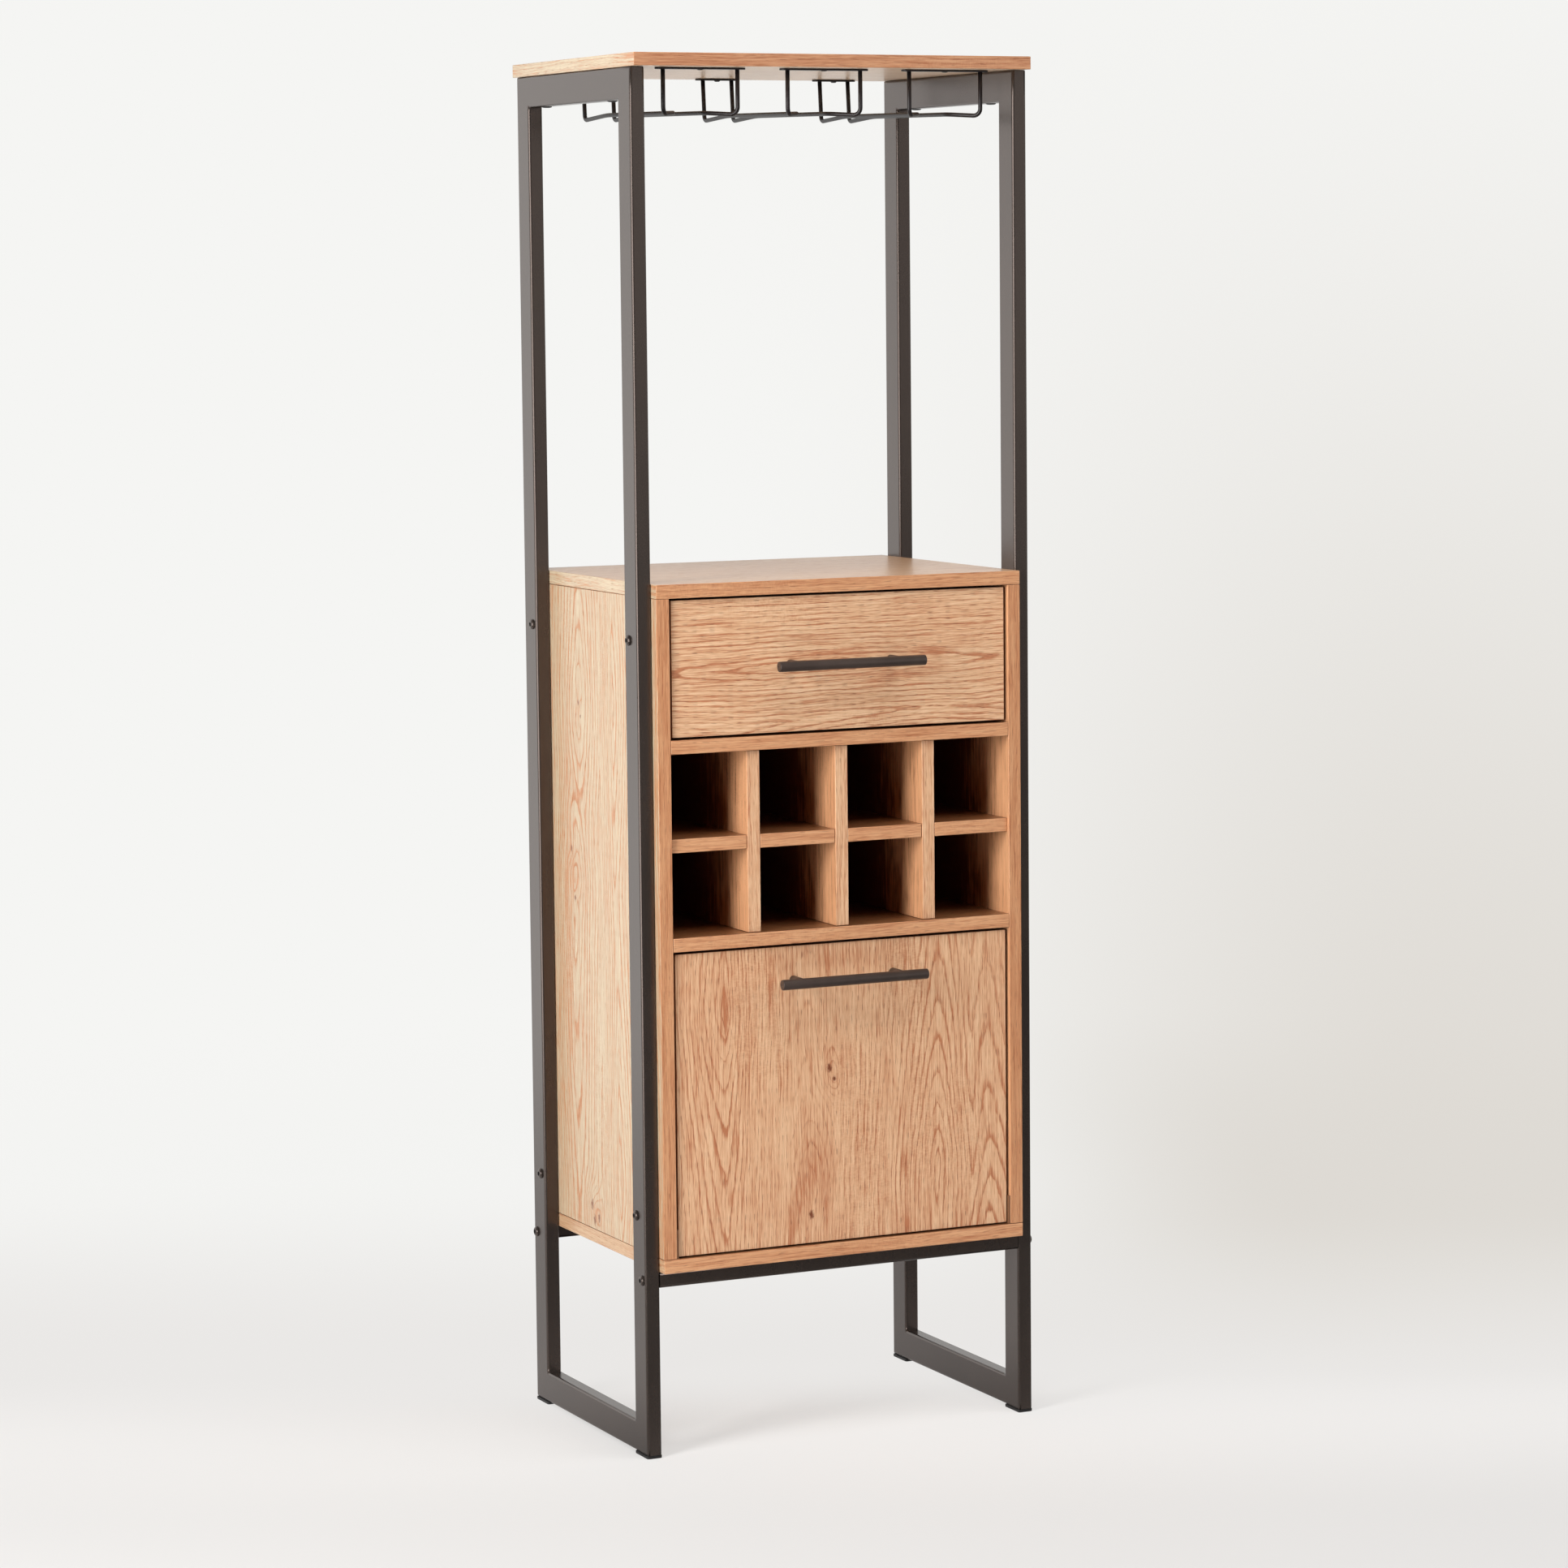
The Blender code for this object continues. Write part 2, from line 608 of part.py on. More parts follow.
def make_stemware_rails():
    front = strap("front_strap", RAIL_MOUTH, RAIL_FRONT)
    rear = strap("rear_strap", RAIL_SLOT, RAIL_REAR)
    whole = fuse(front, rail_wire("left_wire", -1), rail_wire("right_wire", 1), rear)
    whole.location.y = 0.0
    whole.data.transform(Matrix.Translation((0.0, RAIL_FRONT, 0.0)))
    whole.location.z = 0.0
    whole.data.transform(Matrix.Translation((0.0, 0.0, STRAP_Z)))
    mesh = smooth(baked_mesh(whole, "stemware_rail"))
    for index in range(RAIL_COUNT):
        x = (index - (RAIL_COUNT - 1) / 2) * RAIL_PITCH
        add_object(f"stemware_rail_{index + 1}", mesh, POWDER_COAT, (x, 0.0, 0.0))


def make_top_panel():
    board(
        "top_panel",
        (-FRAME_WIDTH / 2, FRAME_WIDTH / 2),
        (FRAME_FRONT - TOP_OVERHANG, FRAME_REAR + TOP_OVERHANG),
        (TOP_UNDERSIDE, OVERALL_HEIGHT),
    )


def back_groove(name, xs, zs):
    """A groove cutter that takes the back panel's edge in every board that it crosses."""
    return box(name, xs, (BACK_FRONT - SEAT_GAP, BACK_REAR + SEAT_GAP), zs, HARDBOARD)


def make_carcass():
    depth = (CABINET_FRONT, CABINET_REAR)
    full = (-CABINET_HALF, CABINET_HALF)
    groove_x = (-INNER_HALF - GROOVE_DEPTH, INNER_HALF + GROOVE_DEPTH)
    groove_z = (FLOOR_Z - GROOVE_DEPTH, CEILING_Z + GROOVE_DEPTH)
    for name, zs in (
        ("cabinet_top", (CEILING_Z, CABINET_TOP)),
        ("cabinet_bottom", (CABINET_UNDERSIDE, FLOOR_Z)),
    ):
        cut(board(name, full, depth, zs), back_groove(f"{name}_groove", groove_x, groove_z))
    for side, sign in SIDES:
        zs = (FLOOR_Z + SEAT_GAP, CEILING_Z - SEAT_GAP)
        panel = board(f"cabinet_{side}_side", span(sign, INNER_HALF, CABINET_HALF), depth, zs)
        cut(panel, back_groove(f"{side}_side_groove", groove_x, groove_z))
        bore = span(sign, CABINET_HALF - BOLT_BITE - SEAT_GAP, CABINET_HALF + CUT_OVERRUN)
        for _, end_sign in ENDS:
            for place, y, z in bolt_places(end_sign)[:2]:
                cut(panel, bolt_hole(f"{side}_side_{end_sign}_{place}_hole", bore, y, z))


def make_back_panel():
    reach = GROOVE_DEPTH - SEAT_GAP
    box(
        "back_panel",
        (-INNER_HALF - reach, INNER_HALF + reach),
        (BACK_FRONT, BACK_REAR),
        (FLOOR_Z - reach, CEILING_Z + reach),
        HARDBOARD,
    )


def make_shelves():
    half = INNER_HALF - SEAT_GAP
    depth = (CABINET_FRONT, SHELF_REAR)
    board("upper_shelf", (-half, half), depth, (UPPER_SHELF_UNDERSIDE, UPPER_SHELF_TOP))
    board("lower_shelf", (-half, half), depth, (LOWER_SHELF_UNDERSIDE, LOWER_SHELF_TOP))


def divider_centres():
    """X of each upright between the bottle cells, evenly spread."""
    cell = (2 * INNER_HALF - (BOTTLE_COLUMNS - 1) * BOARD_THICKNESS) / BOTTLE_COLUMNS
    pitch = cell + BOARD_THICKNESS
    return [pitch * (index - BOTTLE_COLUMNS / 2) for index in range(1, BOTTLE_COLUMNS)]


def make_bottle_grid():
    """Uprights slotted from the rear halve over a shelf slotted from the front."""
    half = INNER_HALF - SEAT_GAP
    middle = (PANEL_FRONT + SHELF_REAR) / 2
    centre_z = (LOWER_SHELF_TOP + UPPER_SHELF_UNDERSIDE) / 2
    shelf_zs = (centre_z - BOARD_THICKNESS / 2, centre_z + BOARD_THICKNESS / 2)
    shelf = board("bottle_shelf", (-half, half), (PANEL_FRONT, SHELF_REAR), shelf_zs)
    slot_half = BOARD_THICKNESS / 2 + SEAT_GAP
    zs = (LOWER_SHELF_TOP + SEAT_GAP, UPPER_SHELF_UNDERSIDE - SEAT_GAP)
    for number, x in enumerate(divider_centres(), 1):
        thickness = (x - BOARD_THICKNESS / 2, x + BOARD_THICKNESS / 2)
        upright = board(f"bottle_divider_{number}", thickness, (PANEL_FRONT, SHELF_REAR), zs)
        cut(
            shelf,
            box(
                f"shelf_slot_{number}",
                (x - slot_half, x + slot_half),
                (PANEL_FRONT - CUT_OVERRUN, middle + SEAT_GAP / 2),
                (shelf_zs[0] - CUT_OVERRUN, shelf_zs[1] + CUT_OVERRUN),
                OAK_BOARD,
            ),
        )
        cut(
            upright,
            box(
                f"divider_slot_{number}",
                (thickness[0] - CUT_OVERRUN, thickness[1] + CUT_OVERRUN),
                (middle - SEAT_GAP / 2, SHELF_REAR + CUT_OVERRUN),
                (centre_z - slot_half, centre_z + slot_half),
                OAK_BOARD,
            ),
        )


def handle_mesh():
    """A bar along X on two posts that stand out from the panel at local y zero towards -Y."""
    half = HANDLE_LENGTH / 2
    bar = cylinder(
        "handle_bar",
        "X",
        (-half, -HANDLE_STANDOFF, 0),
        (half, -HANDLE_STANDOFF, 0),
        HANDLE_BAR_RADIUS,
        HANDLE_COAT,
        HANDLE_STEPS,
    )
    chamfer = bar.modifiers.new("chamfered_ends", "BEVEL")
    chamfer.width = HANDLE_CHAMFER
    chamfer.segments = 1
    chamfer.limit_method = "ANGLE"
    chamfer.angle_limit = math.radians(60.0)
    for name, sign in SIDES:
        x = sign * HANDLE_SPACING / 2
        post = cylinder(
            f"handle_post_{name}",
            "Y",
            (x, -HANDLE_STANDOFF, 0),
            (x, -SEAT_GAP, 0),
            HANDLE_POST_RADIUS,
            HANDLE_COAT,
            PIN_STEPS,
        )
        fuse(bar, post)
    origin = bar.location.copy()
    mesh = baked_mesh(bar, "bar_handle")
    mesh.transform(Matrix.Translation(origin))
    return smooth(mesh)


def channel_outline():
    """A U section in local XY: its web at x zero, its flanges towards +X."""
    half = RUNNER_HEIGHT / 2
    inner = half - RUNNER_METAL
    return [
        (0.0, -half),
        (RUNNER_FLANGE, -half),
        (RUNNER_FLANGE, -inner),
        (RUNNER_METAL, -inner),
        (RUNNER_METAL, inner),
        (RUNNER_FLANGE, inner),
        (RUNNER_FLANGE, half),
        (0.0, half),
    ]


def runner(name, web_x, direction, shrink):
    """One runner member whose web stands at web_x and whose flanges point along direction."""
    points = [
        (direction * x, y - math.copysign(shrink, y)) for x, y in channel_outline()
    ]
    member = flat_outline(name, points, RUNNER_LENGTH, ZINC_STEEL)
    member.rotation_euler = (math.pi / 2, 0.0, 0.0)
    member.location = (web_x, RUNNER_Y, RUNNER_Z)
    return member


def make_runners(slide):
    """On each side a cabinet member, and inside its flanges the drawer member facing it."""
    nested = RUNNER_METAL + RUNNING_GAP
    for side, sign in SIDES:
        runner(f"runner_cabinet_{side}", sign * (INNER_HALF - SEAT_GAP), -sign, 0.0)
        member = runner(f"runner_drawer_{side}", sign * (DRAWER_HALF + SEAT_GAP), sign, nested)
        carry(slide, member)


def make_drawer_box():
    """The drawer's sides, back and bottom; the bottom runs in grooves of the sides."""
    ys = (DRAWER_BOX_FRONT, DRAWER_BOX_REAR)
    inner = DRAWER_HALF - DRAWER_WALL
    groove_half = inner + GROOVE_DEPTH
    groove_zs = (DRAWER_FLOOR - SEAT_GAP, DRAWER_FLOOR + DRAWER_BOTTOM_THICKNESS + SEAT_GAP)
    pieces = []
    for side, sign in SIDES:
        zs = (DRAWER_BOX_BOTTOM, DRAWER_BOX_TOP)
        wall = board(f"drawer_{side}_side", span(sign, inner, DRAWER_HALF), ys, zs)
        run = (ys[0] - CUT_OVERRUN, ys[1] + CUT_OVERRUN)
        cut(wall, box(f"drawer_{side}_groove", (-groove_half, groove_half), run, groove_zs, OAK_BOARD))
        pieces.append(wall)
    back_half = inner - SEAT_GAP
    back_zs = (groove_zs[1], DRAWER_BOX_TOP)
    pieces.append(board("drawer_back", (-back_half, back_half), (ys[1] - DRAWER_WALL, ys[1]), back_zs))
    bottom_half = groove_half - SEAT_GAP
    bottom_zs = (DRAWER_FLOOR, DRAWER_FLOOR + DRAWER_BOTTOM_THICKNESS)
    pieces.append(box("drawer_bottom", (-bottom_half, bottom_half), ys, bottom_zs, HARDBOARD))
    return pieces


def make_drawer(handle):
    """The drawer on its slide: front, box, runner members and handle."""
    middle_z = (DRAWER_FRONT_BOTTOM + DRAWER_FRONT_TOP) / 2
    slide = joint_empty("drawer_slide", (0.0, PANEL_FRONT, middle_z))
    half = INNER_HALF - DRAWER_SIDE_GAP
    zs = (DRAWER_FRONT_BOTTOM, DRAWER_FRONT_TOP)
    front = board("drawer_front", (-half, half), (PANEL_FRONT, PANEL_BACK), zs)
    bar = add_object("drawer_handle", handle, HANDLE_COAT, (0.0, PANEL_FRONT, middle_z))
    carry(slide, front, bar, *make_drawer_box())
    make_runners(slide)


def make_pivot_plates():
    """A plate on each cabinet side with a pin that enters the flap's end."""
    for side, sign in SIDES:
        outer = INNER_HALF - SEAT_GAP
        face = outer - PIVOT_PLATE_THICKNESS
        tip = face - PIVOT_PIN_LENGTH
        plate = box(
            f"pivot_plate_{side}",
            span(sign, face, outer),
            (PIVOT_Y - PIVOT_PLATE_WIDTH / 2, PIVOT_Y + PIVOT_PLATE_WIDTH / 2),
            (FLOOR_Z + SEAT_GAP, PIVOT_Z + PIVOT_PLATE_WIDTH / 2),
            ZINC_STEEL,
        )
        inside = (sign * (face + PIVOT_PLATE_THICKNESS / 2), PIVOT_Y, PIVOT_Z)
        pin = cylinder(
            f"pivot_pin_{side}", "X", (sign * tip, PIVOT_Y, PIVOT_Z), inside, PIVOT_PIN_RADIUS, ZINC_STEEL
        )
        fuse(plate, pin)


def make_flap(handle):
    """The drop-down flap with a bore in each end for its pivot pin, its handle and its stay bracket."""
    hinge = joint_empty("flap_hinge", (0.0, PIVOT_Y, PIVOT_Z))
    flap = board("flap", (-FLAP_HALF, FLAP_HALF), (PANEL_FRONT, PANEL_BACK), (FLAP_BOTTOM, FLAP_TOP))
    bore_depth = INNER_HALF - SEAT_GAP - PIVOT_PLATE_THICKNESS - PIVOT_PIN_LENGTH - RUNNING_GAP
    for side, sign in SIDES:
        start = (sign * bore_depth, PIVOT_Y, PIVOT_Z)
        mouth = (sign * (FLAP_HALF + CUT_OVERRUN), PIVOT_Y, PIVOT_Z)
        radius = PIVOT_PIN_RADIUS + SEAT_GAP
        cut(flap, cylinder(f"flap_bore_{side}", "X", start, mouth, radius, ZINC_STEEL))
    bar = add_object("flap_handle", handle, HANDLE_COAT, (0.0, PANEL_FRONT, FLAP_TOP - FLAP_HANDLE_DROP))
    bracket = make_stay_bracket()
    carry(hinge, flap, bar, bracket)


def make_catch():
    """The magnetic catch under the lower shelf that the closed flap rests against."""
    box(
        "flap_catch",
        (-CATCH_WIDTH / 2, CATCH_WIDTH / 2),
        (PANEL_BACK + SEAT_GAP, PANEL_BACK + SEAT_GAP + CATCH_DEPTH),
        (LOWER_SHELF_UNDERSIDE - SEAT_GAP - CATCH_HEIGHT, LOWER_SHELF_UNDERSIDE - SEAT_GAP),
        BLACK_PLASTIC,
    )


def make_stay_bracket():
    """An angle on the flap's inner face with the riveted pin that carries the rod's eye."""
    ear_x = STAY_ROD_X + STAY_EYE_WIDTH / 2 + RUNNING_GAP
    rivet_x = STAY_ROD_X - STAY_EYE_WIDTH / 2 - RUNNING_GAP
    ear = (ear_x, ear_x + STAY_PLATE_THICKNESS)
    half_height = STAY_PLATE_WIDTH / 2
    zs = (EYE_Z - half_height, EYE_Z + half_height)
    face = PANEL_BACK + SEAT_GAP
    foot = (rivet_x - STAY_RIVET_HEIGHT, ear[1])
    plate = box("stay_bracket", foot, (face, face + STAY_PLATE_THICKNESS), zs, ZINC_STEEL)
    ear_depth = (face + STAY_PLATE_THICKNESS / 2, EYE_Y + STAY_EYE_RADIUS)
    upright = box("stay_ear", ear, ear_depth, zs, ZINC_STEEL)
    pin_start = (rivet_x - STAY_RIVET_HEIGHT / 2, EYE_Y, EYE_Z)
    pin_end = (ear_x + STAY_PLATE_THICKNESS / 2, EYE_Y, EYE_Z)
    pin = cylinder("stay_eye_pin", "X", pin_start, pin_end, STAY_PIN_RADIUS, ZINC_STEEL)
    rivet_start = (rivet_x - STAY_RIVET_HEIGHT, EYE_Y, EYE_Z)
    rivet = cylinder("stay_rivet", "X", rivet_start, (rivet_x, EYE_Y, EYE_Z), STAY_RIVET_RADIUS, ZINC_STEEL)
    return fuse(plate, upright, pin, rivet)


def make_stay_arm():
    """The stay's rod along local Y with an eye on its pivot and a stop collar at its tail."""
    half = STAY_EYE_WIDTH / 2
    eye = cylinder("arm_eye", "X", (-half, 0, 0), (half, 0, 0), STAY_EYE_RADIUS, ZINC_STEEL)
    rod_start = (STAY_PIN_RADIUS + STAY_EYE_RADIUS) / 2
    rod = cylinder("arm_rod", "Y", (0, rod_start, 0), (0, STAY_ROD_END, 0), STAY_ROD_RADIUS, ZINC_STEEL)
    collar_start = (0, STAY_ROD_END - STAY_COLLAR_LENGTH, 0)
    collar_end = (0, STAY_ROD_END + STAY_ROD_RADIUS, 0)
    collar = cylinder("arm_collar", "Y", collar_start, collar_end, STAY_COLLAR_RADIUS, ZINC_STEEL)
    reach = half + CUT_OVERRUN
    hole = cylinder("arm_hole", "X", (-reach, 0, 0), (reach, 0, 0), STAY_PIN_RADIUS + SEAT_GAP, ZINC_STEEL)
    fuse(eye, rod, collar)
    mesh = smooth(baked_mesh(cut(eye, hole), "stay_arm"))
    pivot = joint_empty("stay_arm_pivot", (STAY_ROD_X, EYE_Y, EYE_Z))
    arm = add_object("stay_arm", mesh, ZINC_STEEL, (STAY_ROD_X, EYE_Y, EYE_Z))
    arm.rotation_euler = (STAY_SLOPE, 0.0, 0.0)
    carry(pivot, arm)


def make_stay_housing():
    """The brake housing that the rod slides through, swivelling on the base's pin."""
    outer = STAY_PLATE_FACE - RUNNING_GAP - STAY_ROD_X
    bore = STAY_ROD_RADIUS + RUNNING_GAP
    inner = -bore - STAY_HOUSING_WALL
    half_length = STAY_HOUSING_LENGTH / 2
    half_height = STAY_HOUSING_HEIGHT / 2
    body = box(
        "housing_body",
        (inner, outer),
        (-half_length, half_length),
        (-half_height, half_height),
        BLACK_PLASTIC,
        STAY_HOUSING_WALL,
        0,
        2,
    )
    centre = body.location.copy()
    overrun = half_length + CUT_OVERRUN
    rod_bore = cylinder("housing_rod_bore", "Y", (0, -overrun, 0), (0, overrun, 0), bore, ZINC_STEEL)
    pin_mouth = (outer + CUT_OVERRUN, 0, 0)
    pin_floor = (bore + STAY_WEB, 0, 0)
    pin_radius = STAY_PIN_RADIUS + SEAT_GAP
    pin_bore = cylinder("housing_pin_bore", "X", pin_floor, pin_mouth, pin_radius, ZINC_STEEL)
    mesh = baked_mesh(cut(body, rod_bore, pin_bore), "stay_housing")
    mesh.transform(Matrix.Translation(centre))
    swivel = joint_empty("stay_housing_swivel", (STAY_ROD_X, SWIVEL_Y, SWIVEL_Z))
    housing = add_object("stay_housing", smooth(mesh), BLACK_PLASTIC, (STAY_ROD_X, SWIVEL_Y, SWIVEL_Z))
    housing.rotation_euler = (STAY_SLOPE, 0.0, 0.0)
    carry(swivel, housing)


def make_stay_base():
    """The plate on the cabinet's right side with the pin that the brake housing turns on."""
    outer = INNER_HALF - SEAT_GAP
    plate = box(
        "stay_base",
        (STAY_PLATE_FACE, outer),
        (SWIVEL_Y - STAY_PLATE_LENGTH / 2, SWIVEL_Y + STAY_PLATE_LENGTH / 2),
        (SWIVEL_Z - STAY_PLATE_WIDTH / 2, SWIVEL_Z + STAY_PLATE_WIDTH / 2),
        ZINC_STEEL,
    )
    tip = (STAY_PLATE_FACE - STAY_PIN_LENGTH, SWIVEL_Y, SWIVEL_Z)
    root = (STAY_PLATE_FACE + STAY_PLATE_THICKNESS / 2, SWIVEL_Y, SWIVEL_Z)
    fuse(plate, cylinder("stay_base_pin", "X", tip, root, STAY_PIN_RADIUS, ZINC_STEEL))


def main():
    make_posts()
    make_rails()
    make_crossbars()
    make_feet()
    make_bolts()
    make_top_panel()
    make_stemware_rails()
    make_carcass()
    make_back_panel()
    make_shelves()
    make_bottle_grid()
    handle = handle_mesh()
    make_drawer(handle)
    make_pivot_plates()
    make_flap(handle)
    make_catch()
    make_stay_arm()
    make_stay_housing()
    make_stay_base()


main()
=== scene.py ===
"""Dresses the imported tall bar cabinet: welded side frames, oak-effect boards, wire rails and fittings.

Every piece is modelled in metres in the frame's own space and takes its limits from the CAD nodes.
"""

import logging
import math
from collections.abc import Callable, Iterable, Sequence
from dataclasses import dataclass
from enum import Enum
from functools import cache

import bmesh
import bpy
from mathutils import Matrix, Vector


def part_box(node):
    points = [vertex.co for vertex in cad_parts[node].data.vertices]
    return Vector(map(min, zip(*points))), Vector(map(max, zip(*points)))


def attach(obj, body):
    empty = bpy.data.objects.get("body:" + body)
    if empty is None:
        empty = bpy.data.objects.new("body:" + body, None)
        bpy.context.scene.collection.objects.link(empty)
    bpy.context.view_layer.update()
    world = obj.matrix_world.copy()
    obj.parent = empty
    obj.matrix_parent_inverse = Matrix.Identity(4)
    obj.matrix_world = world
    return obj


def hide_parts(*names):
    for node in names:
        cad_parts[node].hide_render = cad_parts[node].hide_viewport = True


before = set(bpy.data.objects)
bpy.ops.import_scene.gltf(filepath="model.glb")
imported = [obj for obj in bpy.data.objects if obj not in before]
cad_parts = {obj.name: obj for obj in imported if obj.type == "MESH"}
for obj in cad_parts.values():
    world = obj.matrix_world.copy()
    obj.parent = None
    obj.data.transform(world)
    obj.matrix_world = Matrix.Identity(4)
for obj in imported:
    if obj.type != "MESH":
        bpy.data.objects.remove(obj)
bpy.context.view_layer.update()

LOG = logging.getLogger("bar_cabinet")

Triple = tuple[float, float, float]
Colour = tuple[float, float, float, float]
Span = tuple[float, float]
Socket = bpy.types.NodeSocket
Group = bpy.types.NodeTree
Input = Socket | float | tuple[float, ...]
Mesh = bmesh.types.BMesh
Edge = bmesh.types.BMEdge
Vert = bmesh.types.BMVert

ORIGIN: Triple = (0.0, 0.0, 0.0)
WHITE: Colour = (1.0, 1.0, 1.0, 1.0)

# Image and lens of the camera
IMAGE_PIXELS = 1932
SENSOR_MM = 36.0

# Shared making sizes
BOARD_ARRIS = 0.0007
BOARD_ARRIS_STEPS = 2
TUBE_CORNER = 0.003
TUBE_CORNER_STEPS = 6
MERGE_DISTANCE = 0.000002

# The ring of a side frame is cut out of so many cells each way
RING_CELLS = 3

# The numbers of the bottle uprights and of the stemware rails
TRIPLET = (1, 2, 3)

# An edge is sharp where its faces turn by more radians than this, and parallel above this cosine
SHARP_TURN = 1.0
PARALLEL = 0.99


class Axis(Enum):
    """An axis of the frame."""

    X = 0
    Y = 1
    Z = 2


class Side(Enum):
    """Which side of the cabinet a piece is on, as its sign along X."""

    LEFT = -1
    RIGHT = 1


class Body(Enum):
    """The moving bodies that pieces ride on."""

    CABINET = "cabinet"
    DRAWER = "drawer"
    FLAP = "flap"


class Slot(Enum):
    """The record's material slots."""

    POWDER_COAT = "powder_coat"
    OAK_BOARD = "oak_board"
    BLACK_PLASTIC = "black_plastic"
    BOLT_BLACK = "bolt_black"
    HANDLE_COAT = "handle_coat"


def paint(red: int, green: int, blue: int) -> Colour:
    """Turns a colour as it shows, 0 to 255, into the linear colour that a shader takes.

    Args:
        red: Red as shown.
        green: Green as shown.
        blue: Blue as shown.

    Returns:
        The linear colour with full alpha.
    """
    shares = (channel / 255 for channel in (red, green, blue))
    linear = (((s + 0.055) / 1.055) ** 2.4 if s > 0.04045 else s / 12.92 for s in shares)
    return (*linear, 1.0)


class NodeSheet:
    """Lays out and joins the nodes of one material, world or shader group."""

    def __init__(self, tree: Group) -> None:
        """Starts on an existing tree."""
        self.tree = tree

    def add(self, kind: str, *values: Input, **settings: object) -> bpy.types.Node:
        """Adds a node.

        Args:
            kind: The node's type name.
            values: What its first inputs take, in their order.
            settings: Properties to set on it first.

        Returns:
            The new node.
        """
        node = self.tree.nodes.new(kind)
        for name, value in settings.items():
            setattr(node, name, value)
        for socket, value in zip(node.inputs, values):
            self.feed(socket, value)
        return node

    def feed(self, socket: Socket, value: Input) -> None:
        """Links a socket's output, or sets a plain value.

        Args:
            socket: The input to fill.
            value: An output socket or a plain value.
        """
        if isinstance(value, Socket):
            self.tree.links.new(value, socket)
        else:
            socket.default_value = value

    def fill(self, node: bpy.types.Node, values: dict[str, Input]) -> None:
        """Feeds some of a node's inputs by their names."""
        for name, value in values.items():
            self.feed(node.inputs[name], value)

    def math(self, operation: str, *values: Input) -> Socket:
        """Adds a Math node and gives its result."""
        return self.add("ShaderNodeMath", *values, operation=operation).outputs[0]

    def times(self, *values: Input) -> Socket:
        """Multiplies values.

        Args:
            values: Two or more values.

        Returns:
            Their product.
        """
        product = values[0]
        for value in values[1:]:
            product = self.math("MULTIPLY", product, value)
        return product

    def sum(self, *terms: tuple[Input, Input]) -> Socket:
        """Adds weighted values.

        Args:
            terms: Each value with its weight, a number or a socket.

        Returns:
            The weighted sum.
        """
        total: Input = 0.0
        for value, weight in terms:
            total = self.math("MULTIPLY_ADD", value, weight, total)
        return total

    def waver(self, *noises: tuple[Socket, float]) -> Socket:
        """Adds weighted noises and takes off their mean, which is half of the weights."""
        mean = sum(weight for _, weight in noises) / 2
        return self.sum(*noises, (mean, -1.0))

    def vector(self, operation: str, *values: Input) -> Socket:
        """Adds a Vector Math node and gives its vector, or its value for a length or dot product."""
        node = self.add("ShaderNodeVectorMath", *values, operation=operation)
        return node.outputs["Value" if operation in ("LENGTH", "DOT_PRODUCT") else "Vector"]

    def split(self, vector: Socket) -> Sequence[Socket]:
        """Splits a vector into its three parts."""
        return self.add("ShaderNodeSeparateXYZ", vector).outputs

    def join(self, *parts: Input) -> Socket:
        """Joins three numbers into a vector."""
        return self.add("ShaderNodeCombineXYZ", *parts).outputs[0]

    def ease(self, value: Input, low: Input, high: Input, start: float = 0.0, end: float = 1.0) -> Socket:
        """Eases a value from start, at the limit low, to end, at the limit high."""
        node = self.add("ShaderNodeMapRange", value, low, high, start, end, interpolation_type="SMOOTHSTEP")
        return node.outputs["Result"]

    def noise(self, vector: Input, scale: Input, detail: float) -> Socket:
        """Adds a noise stretched along the axes.

        Args:
            vector: Where it is read.
            scale: How many grains fit in a metre along each axis.
            detail: How many finer layers it has.

        Returns:
            The noise, 0 to 1.
        """
        node = self.add("ShaderNodeTexNoise", self.vector("MULTIPLY", vector, scale))
        self.fill(node, {"Scale": 1.0, "Detail": detail})
        return node.outputs[0]

    def grain(self, vector: Input, across: float, along: float, detail: float = 1.0) -> Socket:
        """Adds a noise with so many grains in a metre across and along the wood's grain."""
        return self.noise(vector, (across, along, across), detail)

    def mix(self, factor: Input, first: Input, second: Input) -> Socket:
        """Mixes two colours.

        Args:
            factor: The share of the second.
            first: The first colour.
            second: The second colour.

        Returns:
            The mixed colour.
        """
        node = self.add("ShaderNodeMix", data_type="RGBA")
        sockets = {socket.identifier: socket for socket in node.inputs}
        for label, value in (("Factor_Float", factor), ("A_Color", first), ("B_Color", second)):
            self.feed(sockets[label], value)
        return next(s for s in node.outputs if s.identifier == "Result_Color")

    def blend(self, share: Input, first: Socket, second: Socket) -> Socket:
        """Mixes two shaders by the second one's share."""
        return self.add("ShaderNodeMixShader", share, first, second).outputs[0]

    def use(self, group: Group, **values: Input) -> Sequence[Socket]:
        """Places a shader group and fills the inputs that are named in small letters."""
        node = self.add("ShaderNodeGroup", node_tree=group)
        self.fill(node, {name.title(): value for name, value in values.items()})
        return node.outputs

    def bump(self, height: Input, distance: float) -> Socket:
        """Turns a height, 0 to 1, into a normal, where 1 stands for a distance in metres."""
        node = self.add("ShaderNodeBump")
        self.fill(node, {"Distance": distance, "Height": height})
        return node.outputs[0]


